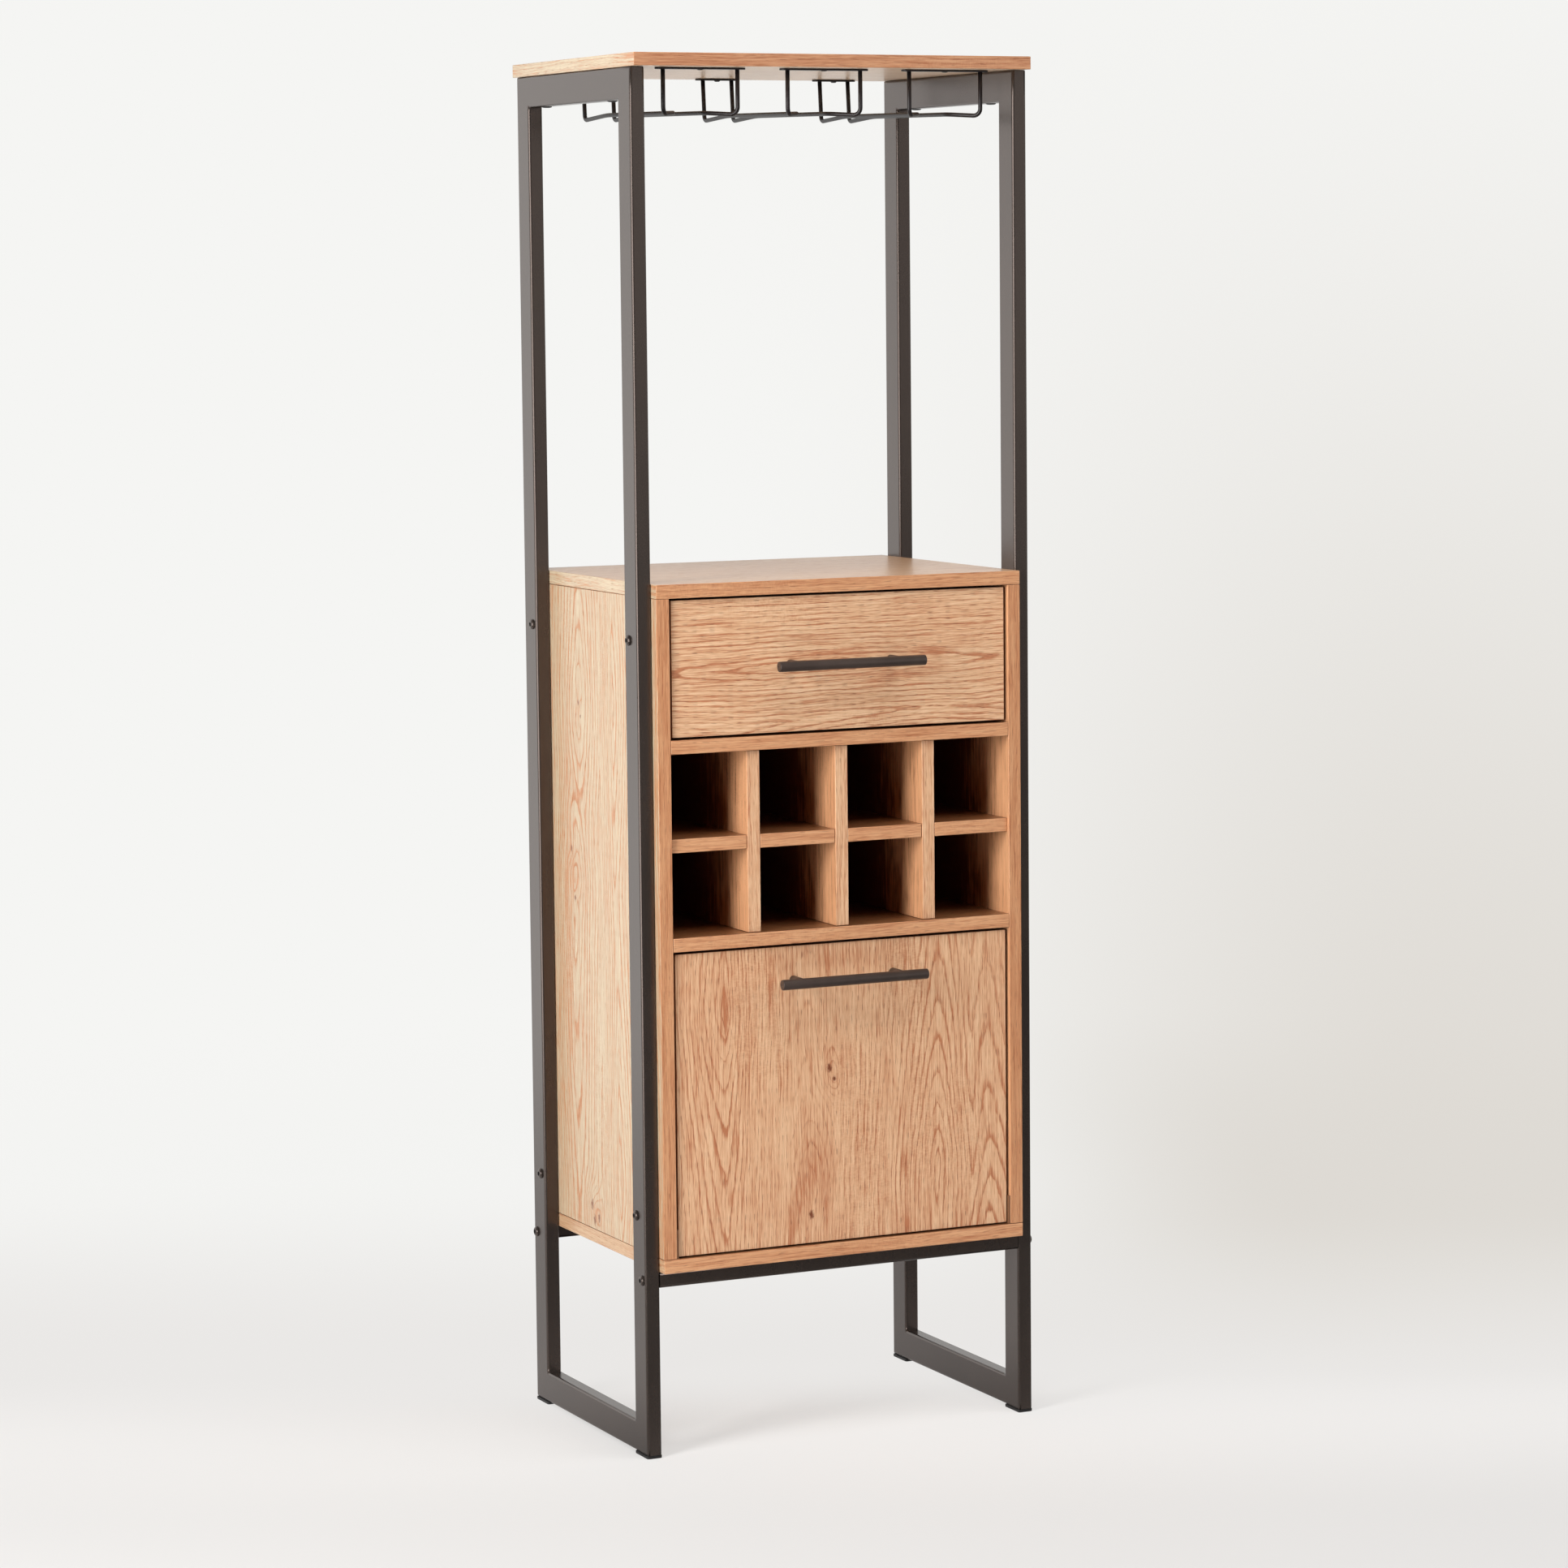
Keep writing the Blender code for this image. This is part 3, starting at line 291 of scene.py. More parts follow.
def new_group(
    name: str, inputs: dict[str, Input], outputs: Sequence[str]
) -> tuple[NodeSheet, dict[str, Socket], bpy.types.Node]:
    """Starts a shader group with named sockets.

    Args:
        name: The group's name.
        inputs: Each input's name and resting value: a number, a vector of three or a colour of four.
        outputs: The outputs' names; one named Color is a colour, one named Vector a vector.

    Returns:
        Its sheet, its inputs by name and its output node.
    """
    kinds = {1: "NodeSocketFloat", 3: "NodeSocketVector", 4: "NodeSocketColor"}
    named = {"Color": kinds[4], "Vector": kinds[3]}
    tree = bpy.data.node_groups.new(name, "ShaderNodeTree")
    for label, value in inputs.items():
        size = len(value) if isinstance(value, tuple) else 1
        socket = tree.interface.new_socket(name=label, in_out="INPUT", socket_type=kinds[size])
        socket.default_value = value
    for label in outputs:
        tree.interface.new_socket(name=label, in_out="OUTPUT", socket_type=named.get(label, kinds[1]))
    sheet = NodeSheet(tree)
    entry = sheet.add("NodeGroupInput")
    return sheet, {label: entry.outputs[label] for label in inputs}, sheet.add("NodeGroupOutput")


@cache
def sway_group() -> Group:
    """Bends straight grain into slow waves; built once.

    Returns:
        The group.
    """
    sheet, given, result = new_group("oak_sway", {"Vector": ORIGIN, "Reach": 0.01}, ["Vector"])
    place = given["Vector"]
    slow = sheet.grain(place, 7.0, 4.0)
    quick = sheet.grain(place, 25.0, 16.0)
    shift = sheet.join(sheet.times(sheet.waver((slow, 2.0), (quick, 0.5)), given["Reach"]), 0.0, 0.0)
    sheet.fill(result, {"Vector": sheet.vector("ADD", place, shift)})
    return sheet.tree


@cache
def growth_group() -> Group:
    """Measures how far a point is from a figure's heart, as long pointed ovals; built once.

    Returns:
        The group.
    """
    shape = {"Below": 0.5, "Above": 0.5, "Right": 1.0, "Close": 5.0, "Point": 1.5, "Start": 0.0}
    sheet, given, result = new_group("oak_growth", {"Vector": ORIGIN, "Heart": ORIGIN, **shape}, ["Growth"])
    across, along, _ = sheet.split(sheet.vector("SUBTRACT", given["Vector"], given["Heart"]))
    left = sheet.math("MAXIMUM", sheet.times(across, -1.0), 0.0)
    wide = sheet.math("MULTIPLY_ADD", sheet.math("MAXIMUM", across, 0.0), given["Right"], left)
    under = sheet.times(sheet.math("MAXIMUM", sheet.times(along, -1.0), 0.0), given["Below"])
    reach = sheet.math("MULTIPLY_ADD", sheet.math("MAXIMUM", along, 0.0), given["Above"], under)
    slowing = sheet.math("MULTIPLY_ADD", sheet.math("ABSOLUTE", along), given["Close"], 1.0)
    long = sheet.math("DIVIDE", reach, slowing)
    powers = [sheet.math("POWER", value, given["Point"]) for value in (wide, long)]
    joined = sheet.math("POWER", sheet.math("ADD", *powers), sheet.math("DIVIDE", 1.0, given["Point"]))
    sheet.fill(result, {"Growth": sheet.math("ADD", joined, given["Start"])})
    return sheet.tree


@cache
def stain_group() -> Group:
    """Marks a soft long patch where the wood turns more red and dark, for real staining or for painted
    shade; built once.

    Returns:
        The group.
    """
    shape = {"Width": 0.01, "Length": 0.05, "Depth": 0.6, "Lean": 0.0}
    sheet, given, result = new_group("oak_stain", {"Vector": ORIGIN, "Heart": ORIGIN, **shape}, ["Stain"])
    across, along, _ = sheet.split(sheet.vector("SUBTRACT", given["Vector"], given["Heart"]))
    straight = sheet.math("SUBTRACT", across, sheet.times(along, given["Lean"]))
    ragged = sheet.grain(given["Vector"], 90.0, 22.0, 2.0)
    wide = sheet.math("DIVIDE", straight, given["Width"])
    long = sheet.math("DIVIDE", along, given["Length"])
    square = sheet.math("ADD", sheet.times(wide, wide), sheet.times(long, long))
    warped = sheet.times(square, sheet.math("MULTIPLY_ADD", ragged, 2.0, 0.3))
    mark = sheet.math("EXPONENT", sheet.times(warped, -1.0))
    sheet.fill(result, {"Stain": sheet.times(mark, given["Depth"])})
    return sheet.tree


@cache
def knot_group() -> Group:
    """Marks a knot and how far it pushes the growth lines aside; built once.

    Returns:
        The group.
    """
    stretch, fade_rate = (1.0, 0.6, 0.0), -0.07
    sheet, given, result = new_group(
        "oak_knot", {"Vector": ORIGIN, "Heart": ORIGIN, "Radius": 0.004}, ["Spot", "Push"]
    )
    away = sheet.vector("MULTIPLY", sheet.vector("SUBTRACT", given["Vector"], given["Heart"]), stretch)
    ragged = sheet.grain(given["Vector"], 400.0, 300.0, 2.0)
    distance = sheet.math("DIVIDE", sheet.vector("LENGTH", away), given["Radius"])
    rough = sheet.math("ADD", distance, sheet.waver((ragged, 1.2)))
    fade = sheet.math("EXPONENT", sheet.times(distance, distance, fade_rate))
    spot = sheet.ease(rough, 0.2, 1.0, 1.0, 0.0)
    sheet.fill(result, {"Spot": spot, "Push": sheet.times(fade, given["Radius"])})
    return sheet.tree


@cache
def oak_group() -> Group:
    """Draws growth lines, fibres, flecks and pores of oak for any board; built once.

    Returns:
        The group.
    """
    fields = {"Growth": 0.0, "Stain": 0.0, "Spot": 0.0}
    levels = {"Gap": 0.009, "Rings": 1.0, "Pores": 1.0, "Fibres": 1.0}
    colours = {name: WHITE for name in ("Light", "Base", "Red", "Dark")}
    sheet, given, result = new_group(
        "oak_surface", {"Vector": ORIGIN, **fields, **levels, **colours}, ["Color", "Roughness", "Height"]
    )
    early_end, late_start, faintest = 0.32, 0.88, 0.25
    figure_edge, plain_share = (0.04, 0.1), 0.45
    place = given["Vector"]
    slow = sheet.grain(place, 14.0, 4.0)
    hair = sheet.grain(place, 950.0, 15.0, 2.0)
    mid = sheet.grain(place, 400.0, 10.0)
    wide = sheet.grain(place, 70.0, 5.0, 2.0)
    fine = sheet.grain(place, 1800.0, 60.0)
    flame = sheet.grain(place, 170.0, 45.0, 2.0)
    speck = sheet.grain(place, 1200.0, 90.0, 0.0)
    fleck = sheet.grain(place, 260.0, 520.0)
    turns = sheet.math("DIVIDE", given["Growth"], given["Gap"])
    phase = sheet.sum((turns, 1.0), (slow, 2.0), (hair, 0.15), (flame, 0.45))
    ring = sheet.math("FRACT", phase)
    number = sheet.add("ShaderNodeTexWhiteNoise", noise_dimensions="1D")
    sheet.fill(number, {"W": sheet.math("FLOOR", phase)})
    early = sheet.math(
        "MAXIMUM", sheet.ease(ring, 0.0, early_end, 1.0, 0.0), sheet.ease(ring, late_start, 1.0)
    )
    weight = sheet.math("MULTIPLY_ADD", number.outputs["Value"], 1.0 - faintest, faintest)
    near = sheet.ease(given["Growth"], *figure_edge, 1.0, plain_share)
    patch = sheet.ease(wide, 0.35, 0.6, 0.45, 1.0)
    line = sheet.times(early, weight, patch, near, given["Rings"])
    crowd = sheet.math("MULTIPLY_ADD", early, 0.7, 0.3)
    pore = sheet.times(sheet.ease(speck, 0.58, 0.7), crowd, given["Pores"])
    flecked = sheet.times(sheet.math("SUBTRACT", fleck, 0.5), sheet.ease(slow, 0.5, 0.65))
    threads = sheet.waver((hair, 1.6), (mid, 0.8), (wide, 0.5), (fine, 1.2))
    fibre = sheet.math("MULTIPLY_ADD", flecked, 0.45, threads)
    tone = sheet.math("MULTIPLY_ADD", fibre, given["Fibres"], 0.55)
    tone = sheet.math("MULTIPLY_ADD", line, -0.6, tone)
    # Turns towards the red shade where real staining or painted shade lies.
    tone = sheet.math("MULTIPLY_ADD", given["Stain"], -0.5, tone)
    lit = sheet.mix(sheet.ease(tone, 0.5, 0.85), given["Base"], given["Light"])
    grained = sheet.mix(sheet.ease(tone, 0.52, 0.05), lit, given["Red"])
    pored = sheet.mix(sheet.times(pore, 0.4), grained, given["Dark"])
    outcome = {
        "Color": sheet.mix(given["Spot"], pored, given["Dark"]),
        "Roughness": sheet.math("MULTIPLY_ADD", pore, 0.25, 0.28),
        "Height": sheet.sum((tone, 0.5), (pore, -0.6)),
    }
    sheet.fill(result, outcome)
    return sheet.tree


@cache
def skin_group() -> Group:
    """Orange peel, dust and faint handling marks of a coated or moulded surface; built once.

    Returns:
        The group.
    """
    inputs = {"Vector": ORIGIN, "Grain": 900.0, "Base": WHITE, "Worn": WHITE}
    sheet, given, result = new_group("coat_skin", inputs, ["Color", "Mottle", "Height"])
    place, grain = given["Vector"], given["Grain"]
    peel = sheet.noise(place, sheet.join(grain, grain, grain), 2.0)
    cloud = sheet.noise(place, (9.0, 9.0, 5.0), 3.0)
    mark = sheet.noise(place, (60.0, 60.0, 18.0), 4.0)
    mottle = sheet.sum((cloud, 0.6), (mark, 0.4))
    share = sheet.ease(sheet.sum((mottle, 0.8), (peel, 0.2)), 0.35, 0.75)
    colour = sheet.mix(share, given["Base"], given["Worn"])
    sheet.fill(result, {"Color": colour, "Mottle": mottle, "Height": peel})
    return sheet.tree


@dataclass(frozen=True)
class Finish:
    """A surface finish with its own material, made on first use."""

    name: str

    def material(self) -> bpy.types.Material:
        """Finds the finish's material, or makes it the first time.

        Returns:
            The material.
        """
        found = bpy.data.materials.get(self.name)
        if found is None:
            found = bpy.data.materials.new(self.name)
            found.use_nodes = True
            self.lay_out(NodeSheet(found.node_tree), found.node_tree.nodes["Principled BSDF"])
        return found

    def lay_out(self, sheet: NodeSheet, shader: bpy.types.Node) -> None:
        """Fills the material's sheet round its Principled BSDF."""
        raise NotImplementedError


@dataclass(frozen=True)
class Palette:
    """Colours of an oak decor as they show."""

    light: Colour
    base: Colour
    red: Colour
    dark: Colour


@dataclass(frozen=True)
class Mark:
    """Something in the grain, by its place across and along it."""

    across: float
    along: float

    def put(self, sheet: NodeSheet, group: Group, place: Socket) -> Sequence[Socket]:
        """Places a shader group at the mark, with the mark's other values as its inputs.

        Args:
            sheet: The material's sheet.
            group: The group that draws such marks.
            place: Where the grain is read: across, along and depth.

        Returns:
            The group's outputs.
        """
        values = {name: value for name, value in vars(self).items() if name not in ("across", "along")}
        return sheet.use(group, vector=place, heart=(self.across, self.along, 0.0), **values)


@dataclass(frozen=True)
class Figure(Mark):
    """One cathedral figure: its heart, and how its ovals widen and close."""

    below: float = 0.5
    above: float = 0.5
    right: float = 1.0
    close: float = 5.0
    point: float = 1.5
    start: float = 0.0


@dataclass(frozen=True)
class Stain(Mark):
    """A more red and darker patch, from real staining or painted shade: its heart, half width, half length,
    depth and how far it leans.
    """

    width: float
    length: float
    depth: float = 0.6
    lean: float = 0.0


@dataclass(frozen=True)
class Knot(Mark):
    """A small knot."""

    radius: float = 0.004


@dataclass(frozen=True)
class Oak(Finish):
    """An oak-effect decor printed with its grain along one axis."""

    across: Axis
    along: Axis
    palette: Palette
    figures: tuple[Figure, ...] = ()
    knots: tuple[Knot, ...] = ()
    stains: tuple[Stain, ...] = ()
    gap: float = 0.009
    rings: float = 1.0
    pores: float = 1.0
    fibres: float = 1.0
    sway: float = 0.006
    relief: float = 0.0002
    knot_push: float = 3.0
    figure_join: float = 0.012

    def lay_out(self, sheet: NodeSheet, shader: bpy.types.Node) -> None:
        """Fills the material.

        Args:
            sheet: The material's sheet.
            shader: Its Principled BSDF.
        """
        parts = sheet.split(sheet.add("ShaderNodeTexCoord").outputs["Object"])
        depth = next(axis for axis in Axis if axis not in (self.across, self.along))
        flat = sheet.join(*(parts[axis.value] for axis in (self.across, self.along, depth)))
        bent = sheet.use(sway_group(), vector=flat, reach=self.sway)[0]
        growth = self.growth(sheet, bent)
        spot: Input = 0.0
        for knot in self.knots:
            mark, push = knot.put(sheet, knot_group(), flat)
            spot = sheet.math("MAXIMUM", spot, mark)
            growth = sheet.math("MULTIPLY_ADD", push, self.knot_push, growth)
        stain_and_shade_sum: Input = 0.0
        for stain in self.stains:
            stain_and_shade_sum = sheet.math("ADD", stain_and_shade_sum, stain.put(sheet, stain_group(), flat)[0])
        levels = {name: getattr(self, name) for name in ("gap", "rings", "pores", "fibres")}
        colour, roughness, height = sheet.use(
            oak_group(), vector=bent, growth=growth, stain=stain_and_shade_sum, spot=spot, **levels, **vars(self.palette)
        )
        normal = sheet.bump(height, self.relief)
        sheet.fill(shader, {"Base Color": colour, "Roughness": roughness, "Normal": normal})

    def growth(self, sheet: NodeSheet, place: Socket) -> Socket:
        """Joins the figures into one field of growth lines.

        Args:
            sheet: The material's sheet.
            place: Where the grain is read: across, along and depth.

        Returns:
            How far the point is from the nearest heart.
        """
        if not self.figures:
            across, _, depth = sheet.split(place)
            return sheet.sum((across, 1.0), (depth, 1.0), (1.0, 1.0))
        nearest, *others = [figure.put(sheet, growth_group(), place)[0] for figure in self.figures]
        for other in others:
            nearest = sheet.math("SMOOTH_MIN", nearest, other, self.figure_join)
        return nearest


@dataclass(frozen=True)
class Coat(Finish):
    """A powder-coated, painted or moulded surface."""

    base: Colour
    worn: Colour
    roughness: float = 0.4
    spread: float = 0.1
    grain: float = 900.0
    relief: float = 0.00003
    metallic: float = 0.0
    specular: float = 0.5
    tint: Colour = WHITE

    def lay_out(self, sheet: NodeSheet, shader: bpy.types.Node) -> None:
        """Fills the material.

        Args:
            sheet: The material's sheet.
            shader: Its Principled BSDF.
        """
        place = sheet.add("ShaderNodeTexCoord").outputs["Object"]
        colour, mottle, height = sheet.use(
            skin_group(), vector=place, grain=self.grain, base=self.base, worn=self.worn
        )
        values = {
            "Base Color": colour,
            "Metallic": self.metallic,
            "Specular IOR Level": self.specular,
            "Specular Tint": self.tint,
            "Roughness": sheet.math("MULTIPLY_ADD", mottle, self.spread, self.roughness),
            "Normal": sheet.bump(height, self.relief),
        }
        sheet.fill(shader, values)


def palette(*shades: tuple[int, int, int]) -> Palette:
    """Makes a palette from four colours as they show: light, base, red and dark."""
    return Palette(*(paint(*shade) for shade in shades))


FRONT_OAK = palette((235, 193, 154), (221, 172, 133), (188, 120, 83), (124, 66, 42))
PALE_OAK = palette((239, 199, 161), (226, 180, 140), (193, 127, 90), (126, 70, 46))
SIDE_OAK = palette((215, 196, 165), (203, 179, 148), (198, 138, 96), (140, 88, 60))
BAND_OAK = palette((214, 159, 117), (202, 142, 101), (176, 112, 75), (114, 62, 40))
# The red shade here is deep, since the painted shade on the inner faces mixes towards it.
INNER_OAK = palette((236, 183, 138), (224, 165, 120), (120, 68, 40), (70, 36, 20))
LEVEL_OAK = palette((222, 168, 125), (210, 151, 109), (184, 120, 82), (118, 66, 43))
TOP_OAK = palette((203, 152, 115), (191, 135, 99), (166, 106, 73), (108, 58, 39))
FLOOR_OAK = palette((213, 179, 142), (200, 161, 125), (190, 127, 88), (136, 84, 56))
# Much paler than the fronts' decor: painted sheen on the top board's underside.
PAINTED_SHEEN_OAK = palette((252, 226, 196), (246, 212, 178), (224, 178, 138), (150, 104, 76))
# Much darker than the fronts' decor: painted shade on the shelves' faces, the deck's underside, the cabinet
# floor's top and the edges of the drawer front and flap.
PAINTED_SHADE_OAK = palette((140, 96, 64), (126, 82, 52), (104, 62, 36), (56, 28, 14))
DECK_OAK = palette((214, 175, 138), (203, 160, 122), (182, 130, 94), (140, 92, 66))

FLAP_OAK = Oak(
    "flap_oak",
    Axis.X,
    Axis.Z,
    FRONT_OAK,
    figures=(
        Figure(-0.150, 0.512, 0.34, 0.16, 1.5, 4.0, 1.5),
        Figure(0.121, 0.315, 0.10, 0.26, 1.1, 2.0, 1.6),
        Figure(0.187, 0.130, 0.10, 0.24, 0.8, 2.0, 1.5, 0.006),
        Figure(-0.044, 0.267, 0.30, 0.34, 1.0, 3.0, 1.7, 0.088),
    ),
    knots=(Knot(-0.0187, 0.4375, 0.0044), Knot(-0.0125, 0.4246, 0.0030), Knot(-0.0434, 0.2675, 0.0045)),
    stains=(
        Stain(-0.150, 0.512, 0.0045, 0.027, 1.1),
        Stain(-0.043, 0.318, 0.017, 0.052, 0.5, 0.12),
        Stain(-0.066, 0.262, 0.006, 0.050, 0.7, 0.10),
        Stain(-0.024, 0.262, 0.005, 0.050, 0.5, -0.08),
        Stain(-0.016, 0.452, 0.006, 0.050, 0.55),
        Stain(-0.093, 0.530, 0.004, 0.030, 0.6),
        Stain(0.078, 0.316, 0.004, 0.018, 1.0),
        Stain(0.080, 0.246, 0.005, 0.014, 0.8),
        Stain(-0.146, 0.295, 0.004, 0.014, 0.8),
        Stain(0.000, 0.566, 0.100, 0.016, 0.35),
    ),
    gap=0.0062,
    rings=1.2,
    pores=1.2,
    fibres=0.95,
)
DRAWER_OAK = Oak(
    "drawer_oak",
    Axis.Z,
    Axis.X,
    PALE_OAK,
    figures=(
        Figure(0.906, -0.040, 0.07, 0.05, 1.0, 0.5, 1.7),
        Figure(0.795, 0.115, 0.20, 0.24, 1.0, 0.5, 1.7),
    ),
    stains=(
        Stain(0.919, 0.010, 0.006, 0.080, 0.7),
        Stain(0.916, 0.125, 0.005, 0.024, 0.8),
        Stain(0.905, -0.150, 0.014, 0.070, 0.45),
        Stain(0.890, 0.060, 0.006, 0.080, 0.45),
    ),
    gap=0.0062,
    rings=1.4,
    pores=1.5,
)
SIDE_FACE_OAK = Oak(
    "side_panel_oak",
    Axis.Y,
    Axis.Z,
    SIDE_OAK,
    figures=(
        Figure(-0.040, 0.300, 0.20, 0.16, 1.6, 1.5, 1.5),
        Figure(-0.033, 0.860, 0.16, 0.10, 1.6, 1.5, 1.4, 0.004),
        Figure(0.086, 0.640, 0.26, 0.50, 1.3, 4.0, 1.8),
        Figure(0.066, 0.852, 0.40, 0.30, 1.0, 4.0, 1.8, 0.006),
    ),
    knots=(
        Knot(0.046, 0.262, 0.0055),
        Knot(0.039, 0.244, 0.0050),
        Knot(0.026, 0.248, 0.0045),
        Knot(0.068, 0.855, 0.0030),
        Knot(0.062, 0.839, 0.0020),
        Knot(0.085, 0.622, 0.0035),
        Knot(0.094, 0.680, 0.0035),
    ),
    stains=(
        Stain(-0.033, 0.730, 0.005, 0.012, 0.9),
        Stain(0.086, 0.655, 0.012, 0.050, 0.5),
        Stain(0.090, 0.760, 0.010, 0.040, 0.4),
        Stain(0.038, 0.252, 0.014, 0.016, 0.6),
        Stain(0.104, 0.550, 0.012, 0.300, 0.4),
        # These two darken the side panel over its full height, in a strip beside the rear post and one
        # beside the front post: painted shade.
        Stain(0.140, 0.600, 0.030, 4.000, 0.15),
        Stain(-0.162, 0.600, 0.014, 4.000, 0.50),
    ),
    gap=0.0072,
    rings=1.7,
    fibres=0.85,
)
INNER_FACE_OAK = Oak(
    "inner_oak_painted_shade",
    Axis.Y,
    Axis.Z,
    INNER_OAK,
    # Darkens the inner faces from some way behind their front edge to the back, along a ragged edge:
    # painted shade inside the cabinet and its bottle cells.
    stains=(Stain(0.06, 0.61, 0.135, 4.0, 2.2),),
    rings=0.6,
    pores=0.5,
    fibres=0.4,
)
BAND_SIDE = Oak(
    "side_band_level",
    Axis.Z,
    Axis.Y,
    SIDE_OAK,
    # Darkens the side edge bands near their front ends: painted shade beside the front posts.
    stains=(Stain(1.0, -0.162, 4.0, 0.04, 0.5),),
    gap=0.006,
    rings=0.6,
)
DECK_FACE_OAK = Oak("deck_oak", Axis.Y, Axis.X, DECK_OAK, rings=0.6, relief=0.0001)
UNDER_FACE_OAK = Oak("underside_oak", Axis.Y, Axis.X, PAINTED_SHEEN_OAK, rings=0.6, relief=0.0001)
SHELF_FACE_OAK = Oak("shelf_oak_painted_shade", Axis.Y, Axis.X, PAINTED_SHADE_OAK)
BAND_LEVEL = Oak("front_band_level", Axis.Z, Axis.X, LEVEL_OAK, gap=0.006, rings=0.6)
BAND_TOP = Oak("top_band_level", Axis.Z, Axis.X, TOP_OAK, gap=0.006, rings=0.6)
BAND_UPRIGHT = Oak("front_band_upright", Axis.X, Axis.Z, BAND_OAK, gap=0.006, rings=0.6)
BAND_FLOOR = Oak("floor_band_level", Axis.Z, Axis.Y, FLOOR_OAK, gap=0.006, rings=0.6)
BAND_PALE = Oak("divider_band_upright", Axis.X, Axis.Z, FRONT_OAK, gap=0.006, rings=0.6)
BAND_END = Oak("side_band_upright", Axis.Y, Axis.Z, BAND_OAK, gap=0.006)
# The edges of the drawer front and flap take the dark palette: painted shade in the gaps round them.
EDGE_LEVEL = Oak("front_edge_level", Axis.Y, Axis.X, PAINTED_SHADE_OAK)
EDGE_UPRIGHT = Oak("front_edge_upright", Axis.Y, Axis.Z, PAINTED_SHADE_OAK)
DRAWER_BOX_OAK = Oak("drawer_box_oak", Axis.Z, Axis.Y, FRONT_OAK, gap=0.006)

CHARCOAL_COAT = Coat(
    "charcoal_coat",
    paint(41, 36, 33),
    paint(50, 44, 40),
    roughness=0.2,
    spread=0.08,
    relief=0.00001,
    specular=0.85,
    tint=(1.0, 0.8, 0.73, 1.0),
)
WIRE_COAT = Coat("wire_coat", paint(27, 22, 23), paint(36, 30, 31), roughness=0.35, specular=0.45)
HANDLE_PAINT = Coat("handle_paint", paint(58, 47, 42), paint(74, 62, 56), roughness=0.35, grain=1500.0)
BOLT_OXIDE = Coat("bolt_oxide", paint(14, 12, 12), paint(26, 23, 22), roughness=0.5)
FOOT_PLASTIC = Coat("foot_plastic", paint(24, 22, 22), paint(34, 32, 32), roughness=0.5, grain=2500.0)
# Dark, like the black inside of the bottle cells: painted shade.
BACK_HARDBOARD = Coat(
    "back_hardboard", paint(40, 32, 27), paint(56, 45, 37), roughness=0.62, grain=420.0, relief=0.00008
)
# Brown like the shaded oak in the gaps beside the flap, where the plates sit: painted shade.
PIVOT_SHADE_PLASTIC = Coat("pivot_plastic", paint(122, 84, 58), paint(134, 94, 66), roughness=0.5, grain=1800.0)
ZINC_PLATE = Coat(
    "zinc_plate", paint(112, 110, 108), paint(140, 138, 136), roughness=0.45, grain=500.0, metallic=1.0
)


def reach_of(*nodes: str) -> tuple[Vector, Vector]:
    """Finds the lowest and the highest corner of some CAD nodes together."""
    lows, highs = zip(*(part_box(node) for node in nodes))
    return Vector([min(values) for values in zip(*lows)]), Vector([max(values) for values in zip(*highs)])


def along(axis: Axis, distance: float) -> Vector:
    """Makes a vector along an axis."""
    return Vector([distance if other is axis else 0.0 for other in Axis])


def block(low: Vector, high: Vector) -> Mesh:
    """Starts a bmesh from a box between two corners.

    Args:
        low: The lowest corner.
        high: The highest corner.

    Returns:
        The bmesh.
    """
    bm = bmesh.new()
    bmesh.ops.create_cube(bm, size=1.0)
    bmesh.ops.scale(bm, vec=high - low, verts=bm.verts)
    bmesh.ops.translate(bm, vec=(low + high) / 2, verts=bm.verts)
    return bm


def runs_along(edge: Edge, axis: Axis) -> bool:
    """Tells whether an edge runs along an axis."""
    return abs((edge.verts[0].co - edge.verts[1].co).normalized()[axis.value]) > PARALLEL


def edges_along(bm: Mesh, axis: Axis) -> list[Edge]:
    """Lists the edges that run along an axis."""
    return [edge for edge in bm.edges if runs_along(edge, axis)]


def sharp_edges(bm: Mesh, but_along: Axis | None = None) -> list[Edge]:
    """Lists the sharp edges, apart from those that run along an axis."""
    sharp = [edge for edge in bm.edges if edge.calc_face_angle(0.0) > SHARP_TURN]
    return sharp if but_along is None else [edge for edge in sharp if not runs_along(edge, but_along)]


def soften(bm: Mesh, edges: Iterable[Edge], radius: float, steps: int) -> None:
    """Rounds edges and shades the rounding smooth, with the flat faces left flat.

    Args:
        bm: The mesh.
        edges: The edges to round.
        radius: The rounding's radius.
        steps: Its number of faces.
    """
    rounded = bmesh.ops.bevel(
        bm, geom=list(edges), offset=radius, segments=steps, profile=0.5, affect="EDGES", material=-1
    )
    for face in rounded["faces"]:
        face.smooth = True


def raise_faces(bm: Mesh, faces: Iterable[bmesh.types.BMFace], push: Vector) -> None:
    """Extrudes faces and leaves the first ones where they were.

    Args:
        bm: The mesh.
        faces: The faces.
        push: How far and which way the new ones go.
    """
    raised = bmesh.ops.extrude_face_region(bm, geom=list(faces))
    moved = [item for item in raised["geom"] if isinstance(item, Vert)]
    bmesh.ops.translate(bm, vec=push, verts=moved)


def extend_ring(bm: Mesh, ring: Sequence[Edge]) -> tuple[list[Vert], list[Edge]]:
    """Extrudes an open ring of edges on the spot.

    Args:
        bm: The mesh.
        ring: The ring's edges.

    Returns:
        The new ring's vertices and edges.
    """
    grown = bmesh.ops.extrude_edge_only(bm, edges=ring)["geom"]
    verts = [item for item in grown if isinstance(item, Vert)]
    return verts, [item for item in grown if isinstance(item, Edge) and item.is_boundary]


